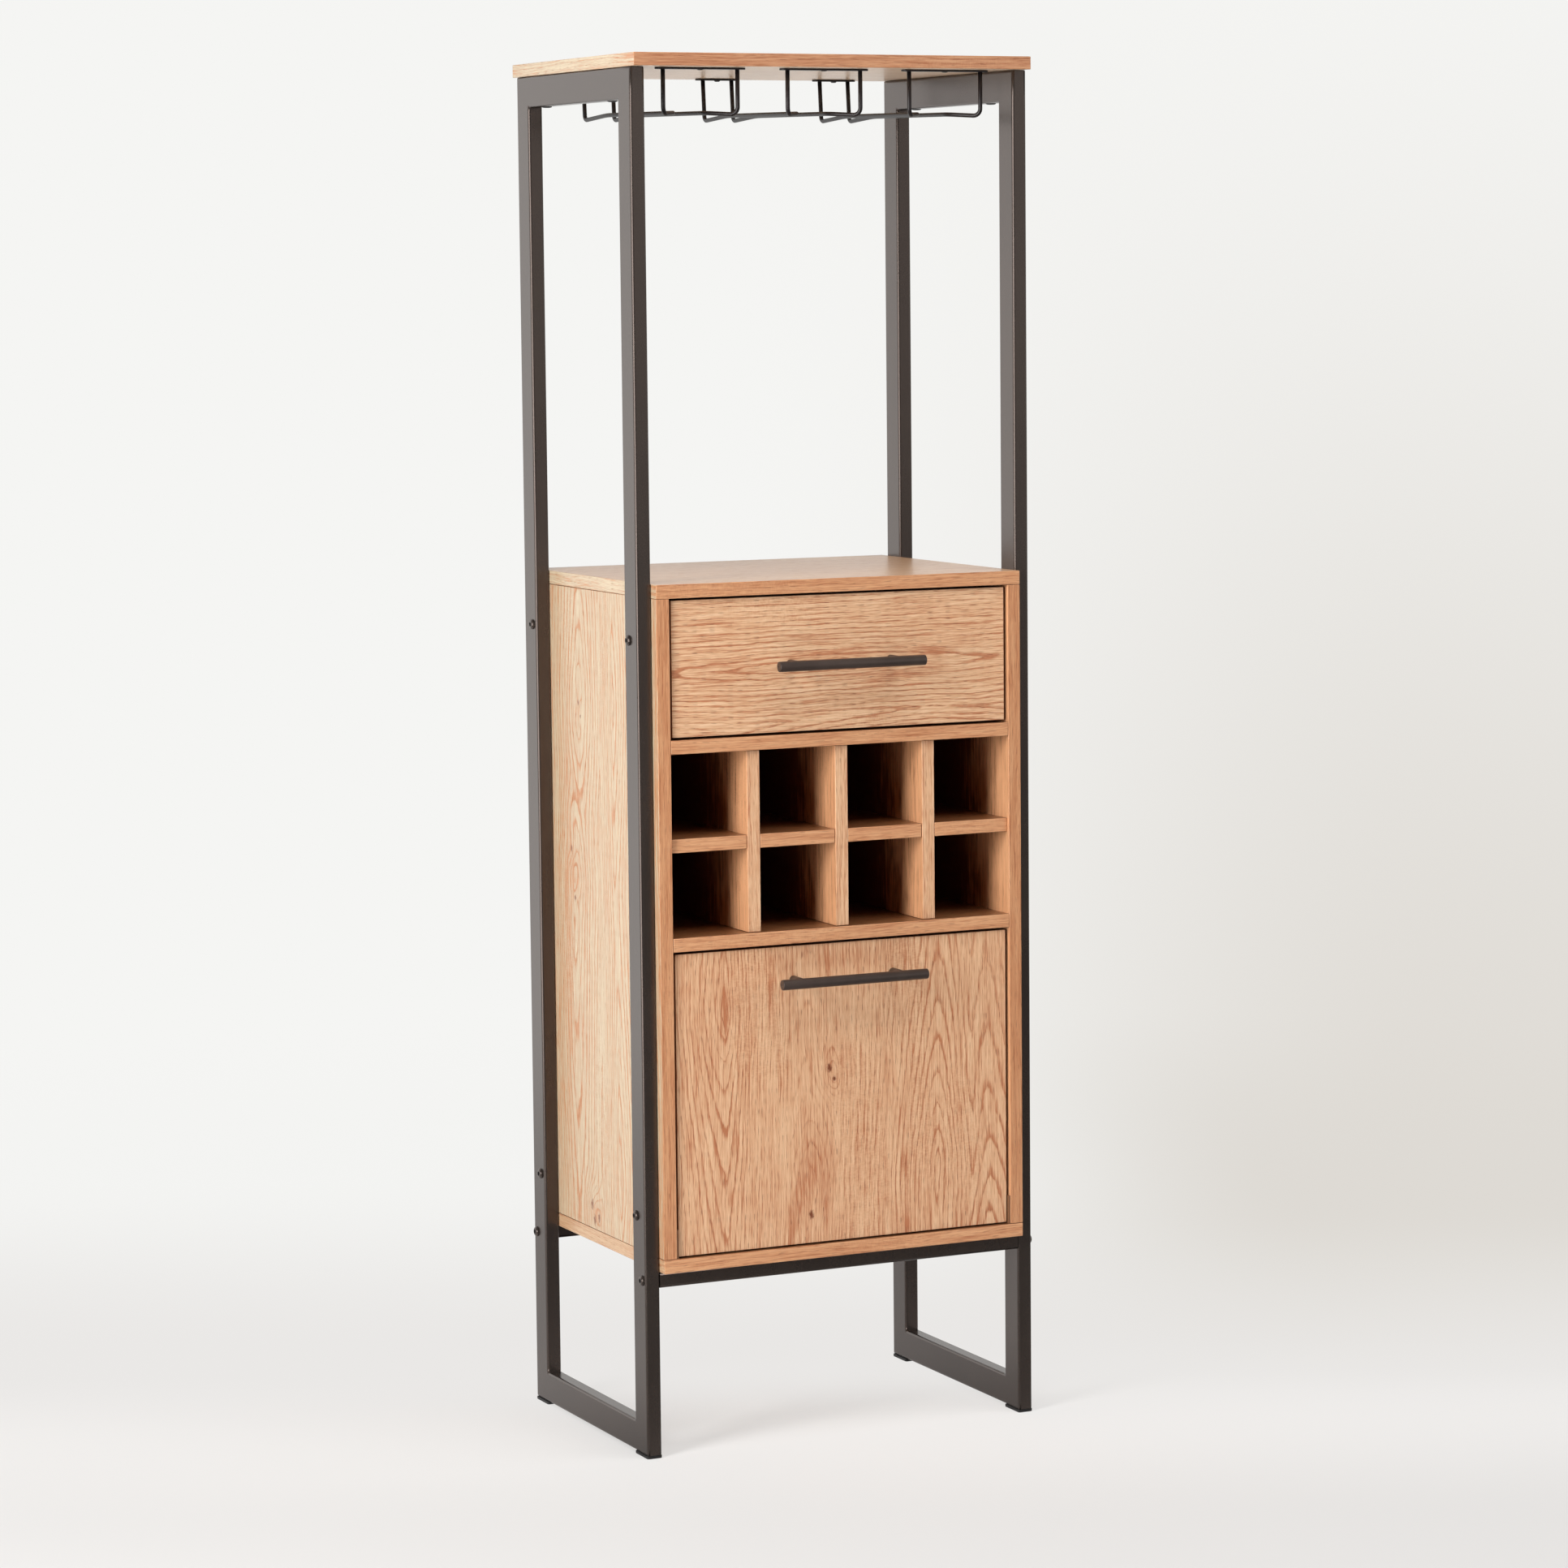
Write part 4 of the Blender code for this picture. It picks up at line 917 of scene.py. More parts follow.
def sweep(
    bm: Mesh,
    edges: Sequence[Edge],
    centre: Vector,
    axis: Vector,
    angle: float,
    steps: int,
    closed: bool = False,
) -> list[Edge]:
    """Spins edges about an axis.

    Args:
        bm: The mesh.
        edges: The edges to spin.
        centre: A point of the axis.
        axis: The axis.
        angle: The angle.
        steps: The number of steps.
        closed: Whether the last edges join the first.

    Returns:
        The last edges.
    """
    swept = bmesh.ops.spin(
        bm, geom=edges, cent=centre, axis=axis, dvec=ORIGIN, angle=angle, steps=steps, use_merge=closed,
        use_normal_flip=False, use_duplicate=False,
    )
    return [item for item in swept["geom_last"] if isinstance(item, Edge)]


def turn_and_move(bm: Mesh, verts: Sequence[Vert], turn: Matrix, place: Sequence[float]) -> None:
    """Turns vertices about the origin and moves them to a place."""
    bmesh.ops.rotate(bm, verts=verts, matrix=turn)
    bmesh.ops.translate(bm, vec=place, verts=verts)


def set_down(
    name: str,
    bm: Mesh,
    finishes: Sequence[Finish],
    replaced: Sequence[str] = (),
    body: Body = Body.CABINET,
) -> None:
    """Turns a finished bmesh into a piece that rides on a body, and reports it.

    Args:
        name: The piece's name.
        bm: Its mesh, which is freed.
        finishes: Its finishes in the order of the material numbers.
        replaced: The CAD nodes it stands for.
        body: The body it rides on.
    """
    bmesh.ops.remove_doubles(bm, verts=bm.verts, dist=MERGE_DISTANCE)
    bmesh.ops.recalc_face_normals(bm, faces=bm.faces)
    mesh = bpy.data.meshes.new(name)
    bm.to_mesh(mesh)
    bm.free()
    for finish in finishes:
        mesh.materials.append(finish.material())
    piece = bpy.data.objects.new(name, mesh)
    bpy.context.scene.collection.objects.link(piece)
    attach(piece, body.value)
    if replaced:
        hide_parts(*replaced)
    LOG.info("%s rides on %s with %d faces", name, body.value, len(mesh.polygons))


@dataclass
class Board:
    """One oak-effect board with banded edges: a plain box, or an outline with notches."""

    name: str
    node: str
    finishes: tuple[Oak, Oak, Oak]
    inner: Oak | None = None
    inner_side: tuple[Axis, int] = (Axis.Z, -1)
    body: Body = Body.CABINET
    outline: Callable[[Vector, Vector], Mesh] = block

    def build(self) -> None:
        """Models the board and puts a finish on each face by the axis that it looks along."""
        bm = self.outline(*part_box(self.node))
        soften(bm, sharp_edges(bm), BOARD_ARRIS, BOARD_ARRIS_STEPS)
        bm.normal_update()
        finishes = list(self.finishes)
        inner_axis, inner_sign = self.inner_side
        if self.inner is not None:
            finishes.append(self.inner)
        for face in bm.faces:
            axis = max(Axis, key=lambda candidate: abs(face.normal[candidate.value]))
            face.material_index = axis.value
            if self.inner is not None and axis is inner_axis and face.normal[axis.value] * inner_sign > 0:
                face.material_index = len(self.finishes)
        set_down(self.name, bm, finishes, [self.node], self.body)


def cut_outline(points: Sequence[Span], axis: Axis, span: Span) -> Mesh:
    """Cuts a flat outline out of a board.

    Args:
        points: The outline's corners on the two axes other than axis, in order.
        axis: The axis that the thickness runs along.
        span: The board's limits on that axis.

    Returns:
        The solid outline.
    """
    bm = bmesh.new()
    spots = []
    for point in points:
        place = list(point)
        place.insert(axis.value, span[0])
        spots.append(bm.verts.new(place))
    raise_faces(bm, [bm.faces.new(spots)], along(axis, span[1] - span[0]))
    bmesh.ops.recalc_face_normals(bm, faces=bm.faces)
    return bm


@dataclass
class SideFrame:
    """One side frame: two posts and two rails welded into one ring of flat steel tube."""

    side: Side
    corner: float = TUBE_CORNER
    trim: float = 1.5

    def build(self) -> None:
        """Models the welded ring, with cuts that keep the shading of its inner corners to themselves."""
        side = self.side.name.lower()
        nodes = [f"{side}_front_post", f"{side}_rear_post", f"{side}_top_rail", f"{side}_bottom_rail"]
        low, high = reach_of(*nodes)
        front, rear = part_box(nodes[0])[1].y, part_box(nodes[1])[0].y
        head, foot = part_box(nodes[2])[0].z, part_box(nodes[3])[1].z
        bm = self.plate(low.x, (low.y, front, rear, high.y), (low.z, foot, head, high.z))
        raise_faces(bm, bm.faces, along(Axis.X, high.x - low.x))
        bmesh.ops.recalc_face_normals(bm, faces=bm.faces)
        soften(bm, sharp_edges(bm, but_along=Axis.X), self.corner, TUBE_CORNER_STEPS)
        for axis, place in ((Axis.Y, front), (Axis.Y, rear), (Axis.Z, foot), (Axis.Z, head)):
            inward = math.copysign(self.corner * self.trim, (low + high)[axis.value] / 2 - place)
            geometry = [*bm.verts, *bm.edges, *bm.faces]
            spot, normal = along(axis, place + inward), along(axis, 1.0)
            bmesh.ops.bisect_plane(bm, geom=geometry, plane_co=spot, plane_no=normal)
        set_down(f"{side}_side_frame", bm, [CHARCOAL_COAT], nodes)

    @staticmethod
    def plate(x: float, columns: Sequence[float], rows: Sequence[float]) -> Mesh:
        """Lays a flat ring out as a grid of three by three faces without the middle one.

        Args:
            x: Where it stands.
            columns: Its four places along Y.
            rows: Its four places along Z.

        Returns:
            The ring.
        """
        bm = bmesh.new()
        half = RING_CELLS / 2
        bmesh.ops.create_grid(bm, x_segments=RING_CELLS, y_segments=RING_CELLS, size=half)
        hole = min(bm.faces, key=lambda face: face.calc_center_median().length)
        bmesh.ops.delete(bm, geom=[hole], context="FACES_ONLY")
        for vert in bm.verts:
            vert.co = (x, columns[round(vert.co.x + half)], rows[round(vert.co.y + half)])
        return bm


@dataclass
class Crossbar:
    """A square tube between the side frames, under the cabinet."""

    end: str

    def build(self) -> None:
        """Models the bar with rounded long edges."""
        node = f"{self.end}_crossbar"
        bm = block(*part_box(node))
        soften(bm, edges_along(bm, Axis.X), TUBE_CORNER, TUBE_CORNER_STEPS)
        set_down(f"{self.end}_cross_tube", bm, [CHARCOAL_COAT], [node])


@dataclass
class Foot:
    """A plastic cap in a post's open lower end."""

    post: str
    thickness: float = 0.0032
    plug: float = 0.0018
    rim: float = 0.0006
    rim_steps: int = 2
    rim_slack: float = 0.0001

    def build(self) -> None:
        """Models the cap with a raised plug and eased lower rim."""
        node = f"{self.post}_foot"
        low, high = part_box(node)
        bm = block(low, Vector((high.x, high.y, low.z + self.thickness)))
        soften(bm, edges_along(bm, Axis.Z), TUBE_CORNER, TUBE_CORNER_STEPS)
        bm.normal_update()
        top = max(bm.faces, key=lambda face: face.calc_center_median().z)
        bmesh.ops.inset_region(bm, faces=[top], thickness=self.plug)
        raise_faces(bm, [top], along(Axis.Z, high.z - low.z - self.thickness))
        bmesh.ops.delete(bm, geom=[top], context="FACES_ONLY")
        level = low.z + self.rim_slack
        soften(bm, [e for e in bm.edges if all(v.co.z < level for v in e.verts)], self.rim, self.rim_steps)
        set_down(f"{self.post}_foot_cap", bm, [FOOT_PLASTIC], [node])


@dataclass(frozen=True)
class ScrewHead:
    """A domed screw head turned along Z, its seat at zero, with a socket of flat sides."""

    radius: float
    height: float
    socket: float
    depth: float
    sides: int = 6
    segments: int = 36
    dome: int = 5
    rim: float = 0.15
    crown: float = math.radians(62.0)
    fullness: float = 0.8
    lead: float = 1.12
    lead_depth: float = 0.1
    wall_reach: float = 1.02
    lip_reach: float = 1.2

    def rings(self) -> list[tuple[float, float, bool]]:
        """Lists the head's rings from its rim to the socket's floor.

        Returns:
            Each ring's radius, its level and whether it has the socket's flat sides.
        """
        rim = self.height * self.rim
        rings = [(self.radius, rim, False)]
        for step in range(1, self.dome + 1):
            angle = self.crown * step / self.dome
            level = rim + (self.height - rim) * math.sin(angle) / math.sin(self.crown)
            rings.append((self.radius * math.cos(angle) ** self.fullness, level, False))
        rings.append((self.socket * self.lead, self.height, True))
        for drop in (self.socket * self.lead_depth, self.depth):
            rings.append((self.socket, self.height - drop, True))
        return rings

    def build(self) -> Mesh:
        """Turns the head.

        Returns:
            The closed head, its socket in the second material.
        """
        bm = bmesh.new()
        bmesh.ops.create_circle(bm, cap_ends=True, radius=self.radius, segments=self.segments)
        ring = [edge for edge in bm.edges if edge.is_boundary]
        half = math.pi / self.sides
        for reach, level, flat in self.rings():
            verts, ring = extend_ring(bm, ring)
            for vert in verts:
                angle = math.atan2(vert.co.y, vert.co.x)
                share = math.cos(half) / math.cos((angle % (2 * half)) - half) if flat else 1.0
                vert.co = (reach * share * math.cos(angle), reach * share * math.sin(angle), level)
        bmesh.ops.contextual_create(bm, geom=ring)
        socket_wall, socket_lip = self.socket * self.wall_reach, self.socket * self.lip_reach
        for face in bm.faces:
            middle = face.calc_center_median()
            face.smooth = len(face.verts) == 4 and middle.xy.length > socket_lip
            if middle.z > self.height * self.rim and middle.xy.length < socket_wall:
                face.material_index = 1
        return bm


@dataclass
class ButtonBolt:
    """A button head socket bolt in a post."""

    node: str
    side: Side
    head: ScrewHead = ScrewHead(0.006, 0.0033, 0.0026, 0.0018)

    def build(self) -> None:
        """Models the bolt's head on its seat."""
        low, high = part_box(self.node)
        bm = self.head.build()
        seat = high.x - self.head.height if self.side is Side.RIGHT else low.x + self.head.height
        turn = Matrix.Rotation(self.side.value * math.pi / 2, 3, "Y")
        turn_and_move(bm, bm.verts, turn, (seat, *((low + high) / 2).yz))
        set_down(f"{self.node}_head", bm, [CHARCOAL_COAT, BOLT_OXIDE], [self.node])


@dataclass
class HangingScrew:
    """A flat screw head that faces down, under a rail or a strap."""

    name: str
    place: Vector
    radius: float
    height: float
    socket_share: float = 0.4
    depth_share: float = 0.6

    def build(self) -> None:
        """Models the head upside down on its seat."""
        socket, depth = self.radius * self.socket_share, self.height * self.depth_share
        bm = ScrewHead(self.radius, self.height, socket, depth).build()
        turn_and_move(bm, bm.verts, Matrix.Rotation(math.pi, 3, "X"), self.place)
        set_down(self.name, bm, [BOLT_OXIDE])


@dataclass
class BarHandle:
    """A round bar handle on two posts."""

    node: str
    body: Body
    radius: float = 0.006
    post_radius: float = 0.005
    post_segments: int = 24
    spacing: float = 0.128
    chamfer: float = 0.0008
    chamfer_knee: Span = (0.4, 0.25)
    dimple: float = 0.0011
    dimple_lip: float = 0.0001
    dimple_spread: float = 1.3
    steps: int = 40

    def build(self) -> None:
        """Turns the bar with its chamfered, centre-drilled ends and stands it on its posts."""
        low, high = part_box(self.node)
        centre = (low + high) / 2
        half = (high.x - low.x) / 2
        knee_in, knee_down = (self.chamfer * share for share in self.chamfer_knee)
        end = [
            (half - self.dimple, 0.0),
            (half - self.dimple_lip, self.dimple),
            (half, self.dimple * self.dimple_spread),
            (half, self.radius - self.chamfer),
            (half - knee_in, self.radius - knee_down),
            (half - self.chamfer, self.radius),
        ]
        profile = end + [(-x, y) for x, y in reversed(end)]
        bm = bmesh.new()
        spots = [bm.verts.new((x, 0.0, y)) for x, y in profile]
        edges = [bm.edges.new(pair) for pair in zip(spots, spots[1:])]
        sweep(bm, edges, Vector(ORIGIN), along(Axis.X, 1.0), 2 * math.pi, self.steps, closed=True)
        start = low.y + self.radius
        bmesh.ops.translate(bm, vec=(centre.x, start, centre.z), verts=bm.verts)
        for sign in (-1, 1):
            post = bmesh.ops.create_cone(
                bm, cap_ends=True, segments=self.post_segments, radius1=self.post_radius,
                radius2=self.post_radius, depth=high.y - start,
            )
            place = (centre.x + sign * self.spacing / 2, (start + high.y) / 2, centre.z)
            turn_and_move(bm, post["verts"], Matrix.Rotation(math.pi / 2, 3, "X"), place)
        for face in bm.faces:
            face.smooth = len(face.verts) == 4
        set_down(f"{self.node}_bar", bm, [HANDLE_PAINT], [self.node], self.body)


@dataclass
class StemwareRail:
    """Two bent wires on stamped straps that hold stemmed glasses by their feet."""

    index: int
    wire: float = 0.0025
    mouth: float = 0.092
    slot: float = 0.0375
    funnel: float = 0.030
    lean: float = 0.004
    bow: Triple = (0.0025, 0.006, 0.002)
    crest: float = 0.07
    bends: tuple[float, float, float, float] = (0.008, 0.025, 0.3, 0.006)
    bend_steps: int = 8
    strap_width: float = 0.012
    strap_thickness: float = 0.002
    strap_arris: float = 0.0004
    strap_round: float = 0.499
    strap_round_steps: int = 8
    overhang: float = 0.0095
    sides: int = 16
    screw_radius: float = 0.0036
    screw_heights: Span = (0.0008, 0.0014)

    def build(self) -> None:
        """Bends both wires, adds the straps and their screws, and joins them."""
        node = f"stemware_rail_{self.index}"
        low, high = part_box(node)
        x = (low.x + high.x) / 2
        front, rear = low.y + self.strap_width / 2, high.y - self.strap_width / 2
        strap_z = high.z - self.strap_thickness / 2
        wire_z = low.z + self.wire
        bm = bmesh.new()
        for sign in (-1, 1):
            wide, narrow = x + sign * self.mouth / 2, x + sign * self.slot / 2
            corners = (
                (wide, front, strap_z),
                (wide, front, wire_z),
                (narrow, front + self.funnel, wire_z + self.bow[0]),
                (narrow, rear - self.crest, wire_z + self.bow[1]),
                (narrow, rear - self.lean, wire_z + self.bow[2]),
                (narrow, rear, strap_z),
            )
            self.bend(bm, [Vector(corner) for corner in corners])
        for face in bm.faces:
            face.smooth = len(face.verts) == 4
        ends = (("front", self.mouth, front), ("rear", self.slot, rear))
        for (end, spread, y), height in zip(ends, self.screw_heights):
            self.add_strap(bm, Vector((x, y, strap_z)), spread)
            seat = Vector((x, y, strap_z - self.strap_thickness / 2))
            HangingScrew(f"strap_screw_{self.index}_{end}", seat, self.screw_radius, height).build()
        set_down(f"stemware_wire_rail_{self.index}", bm, [WIRE_COAT], [node])

    def bend(self, bm: Mesh, corners: Sequence[Vector]) -> None:
        """Draws a round wire along the corners, with arcs at the inner ones.

        Args:
            bm: The rail's mesh.
            corners: The wire's corner points.
        """
        heading = (corners[1] - corners[0]).normalized()
        made = bmesh.ops.create_circle(bm, cap_ends=True, radius=self.wire, segments=self.sides)["verts"]
        turn = along(Axis.Z, 1.0).rotation_difference(heading).to_matrix()
        turn_and_move(bm, made, turn, corners[0])
        ring = list({edge for vert in made for edge in vert.link_edges})
        place = corners[0]
        for corner, after, radius in zip(corners[1:], corners[2:], self.bends):
            outward = (after - corner).normalized()
            angle = heading.angle(outward)
            setback = radius * math.tan(angle / 2)
            ring = self.draw(bm, ring, corner - heading * setback - place)
            centre = corner + (outward - heading).normalized() * radius / math.cos(angle / 2)
            ring = sweep(bm, ring, centre, heading.cross(outward).normalized(), angle, self.bend_steps)
            place = corner + outward * setback
            heading = outward
        ring = self.draw(bm, ring, corners[-1] - place)
        bmesh.ops.contextual_create(bm, geom=ring)

    @staticmethod
    def draw(bm: Mesh, ring: Sequence[Edge], push: Vector) -> list[Edge]:
        """Draws the wire's open end straight on and gives its new edges.

        Args:
            bm: The rail's mesh.
            ring: The open end's edges.
            push: How far and which way.

        Returns:
            The new end's edges.
        """
        verts, grown = extend_ring(bm, ring)
        bmesh.ops.translate(bm, vec=push, verts=verts)
        return grown

    def add_strap(self, bm: Mesh, centre: Vector, spread: float) -> None:
        """Adds a flat strap with round ends.

        Args:
            bm: The rail's mesh.
            centre: The strap's middle.
            spread: The distance between its wires.
        """
        half = Vector((spread / 2 + self.overhang, self.strap_width / 2, self.strap_thickness / 2))
        made = block(centre - half, centre + half)
        soften(made, edges_along(made, Axis.Z), self.strap_width * self.strap_round, self.strap_round_steps)
        soften(made, sharp_edges(made, but_along=Axis.Z), self.strap_arris, BOARD_ARRIS_STEPS)
        for face in made.faces:
            face.smooth = False
        part = bpy.data.meshes.new("strap")
        made.to_mesh(part)
        made.free()
        bm.from_mesh(part)
        bpy.data.meshes.remove(part)


@dataclass
class BottleGrid:
    """The shelf and uprights of the bottle cells, halved over each other."""

    fit: float = 0.0003
    slot_play: float = 0.0009

    def shelf_outline(self, low: Vector, high: Vector) -> Mesh:
        """Notches the shelf from the front for each upright.

        Args:
            low: The shelf's lowest corner.
            high: The shelf's highest corner.

        Returns:
            The notched board.
        """
        middle = (low.y + high.y) / 2
        points = [(low.x, low.y)]
        for number in TRIPLET:
            start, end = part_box(f"bottle_divider_{number}")
            left, right = start.x - self.slot_play, end.x + self.fit
            points += [(left, low.y), (left, middle), (right, middle), (right, low.y)]
        points += [(high.x, low.y), (high.x, high.y), (low.x, high.y)]
        return cut_outline(points, Axis.Z, (low.z, high.z))

    def upright_outline(self, low: Vector, high: Vector) -> Mesh:
        """Notches an upright from the rear for the shelf.

        Args:
            low: The upright's lowest corner.
            high: The upright's highest corner.

        Returns:
            The notched board.
        """
        middle = (low.y + high.y) / 2
        start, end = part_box("bottle_shelf")
        under, over = start.z - self.fit, end.z + self.fit
        points = [(low.y, low.z), (high.y, low.z), (high.y, under), (middle, under)]
        points += [(middle, over), (high.y, over), (high.y, high.z), (low.y, high.z)]
        return cut_outline(points, Axis.X, (low.x, high.x))

    def build(self) -> None:
        """Models the shelf and the three uprights."""
        level = (BAND_SIDE, BAND_LEVEL, SHELF_FACE_OAK)
        upright = (INNER_FACE_OAK, BAND_PALE, BAND_END)
        Board("bottle_cell_shelf", "bottle_shelf", level, outline=self.shelf_outline).build()
        for number in TRIPLET:
            name, node = f"bottle_upright_{number}", f"bottle_divider_{number}"
            Board(name, node, upright, outline=self.upright_outline).build()


@dataclass
class Carcass:
    """The cabinet's boards, its bottle grid and the top board on the frames."""

    def build(self) -> None:
        """Models the boards, then the bottle grid."""
        level = (BAND_SIDE, BAND_LEVEL, DECK_FACE_OAK)
        shelf = (BAND_SIDE, BAND_LEVEL, SHELF_FACE_OAK)
        upright = (SIDE_FACE_OAK, BAND_UPRIGHT, BAND_END)
        top = (BAND_SIDE, BAND_TOP, DECK_FACE_OAK)
        bottom = (BAND_FLOOR, BAND_LEVEL, DECK_FACE_OAK)
        boards = [
            Board("top_board", "top_panel", top, UNDER_FACE_OAK),
            Board("cabinet_deck", "cabinet_top", level, SHELF_FACE_OAK),
            Board("cabinet_floor", "cabinet_bottom", bottom, SHELF_FACE_OAK, (Axis.Z, 1)),
            Board("cabinet_upper_shelf", "upper_shelf", shelf),
            Board("cabinet_lower_shelf", "lower_shelf", shelf),
        ]
        for side in Side:
            label, inward = side.name.lower(), (Axis.X, -side.value)
            name, node = f"cabinet_{label}_wall", f"cabinet_{label}_side"
            boards.append(Board(name, node, upright, INNER_FACE_OAK, inward))
        for board in boards:
            board.build()
        BottleGrid().build()


@dataclass
class Fronts:
    """The drawer front and the flap with their handles."""

    def build(self) -> None:
        """Models the moving fronts, then their handles."""
        drawer = (EDGE_UPRIGHT, DRAWER_OAK, EDGE_LEVEL)
        flap = (EDGE_UPRIGHT, FLAP_OAK, EDGE_LEVEL)
        Board("drawer_front_board", "drawer_front", drawer, body=Body.DRAWER).build()
        Board("flap_board", "flap", flap, body=Body.FLAP).build()
        for body in (Body.DRAWER, Body.FLAP):
            BarHandle(f"{body.value}_handle", body).build()


@dataclass
class Ironwork:
    """The side frames, crossbars, feet, bolts, rails and screws."""

    rail_screw_reach: float = 0.097
    rail_screw_radius: float = 0.006
    rail_screw_height: float = 0.0014

    def build(self) -> None:
        """Models the steel and plastic pieces."""
        for side in Side:
            SideFrame(side).build()
        for end in ("front", "rear"):
            Crossbar(end).build()
        for side in Side:
            label = side.name.lower()
            rail_low, rail_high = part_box(f"{label}_top_rail")
            x, middle, _ = (rail_low + rail_high) / 2
            for end, sign in (("front", -1), ("rear", 1)):
                post = f"{label}_{end}"
                Foot(post).build()
                for place in ("upper", "lower", "crossbar"):
                    ButtonBolt(f"bolt_{post}_{place}", side).build()
                name = f"top_rail_screw_{label}_{end}"
                spot = Vector((x, middle + sign * self.rail_screw_reach, rail_low.z))
                HangingScrew(name, spot, self.rail_screw_radius, self.rail_screw_height).build()
        for index in TRIPLET:
            StemwareRail(index).build()


@dataclass
class Fittings:
    """The CAD pieces whose shapes are right, which only get their finishes."""

    def dress(self) -> None:
        """Puts a finish on each carried-over node."""
        runners = [f"runner_{part}_{side}" for part in ("cabinet", "drawer") for side in ("left", "right")]
        finishes = {
            BACK_HARDBOARD: ["back_panel", "drawer_bottom"],
            DRAWER_BOX_OAK: ["drawer_left_side", "drawer_right_side", "drawer_back"],
            ZINC_PLATE: [*runners, "stay_bracket", "stay_arm", "stay_base"],
            PIVOT_SHADE_PLASTIC: ["pivot_plate_left", "pivot_plate_right"],
            FOOT_PLASTIC: ["flap_catch", "stay_housing"],
        }
        for finish, nodes in finishes.items():
            for name in nodes:
                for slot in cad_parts[name].material_slots:
                    slot.material = finish.material()
            LOG.info("%s dresses %s", finish.name, ", ".join(nodes))


@dataclass(frozen=True)
class Lamp:
    """A soft rectangular lamp that faces the cabinet, hidden from the camera and from gloss."""

    name: str
    place: Triple
    size: Span
    power: float
    aim: Triple = (0.0, 0.0, 0.8)

    def hang(self) -> None:
        """Hangs the lamp."""
        data = bpy.data.lights.new(self.name, "AREA")
        data.shape = "RECTANGLE"
        data.size, data.size_y = self.size
        data.energy = self.power
        lamp = bpy.data.objects.new(self.name, data)
        lamp.location = self.place
        lamp.rotation_euler = (Vector(self.aim) - Vector(self.place)).to_track_quat("-Z", "Y").to_euler()
        lamp.visible_glossy = False
        lamp.visible_camera = False
        bpy.context.scene.collection.objects.link(lamp)


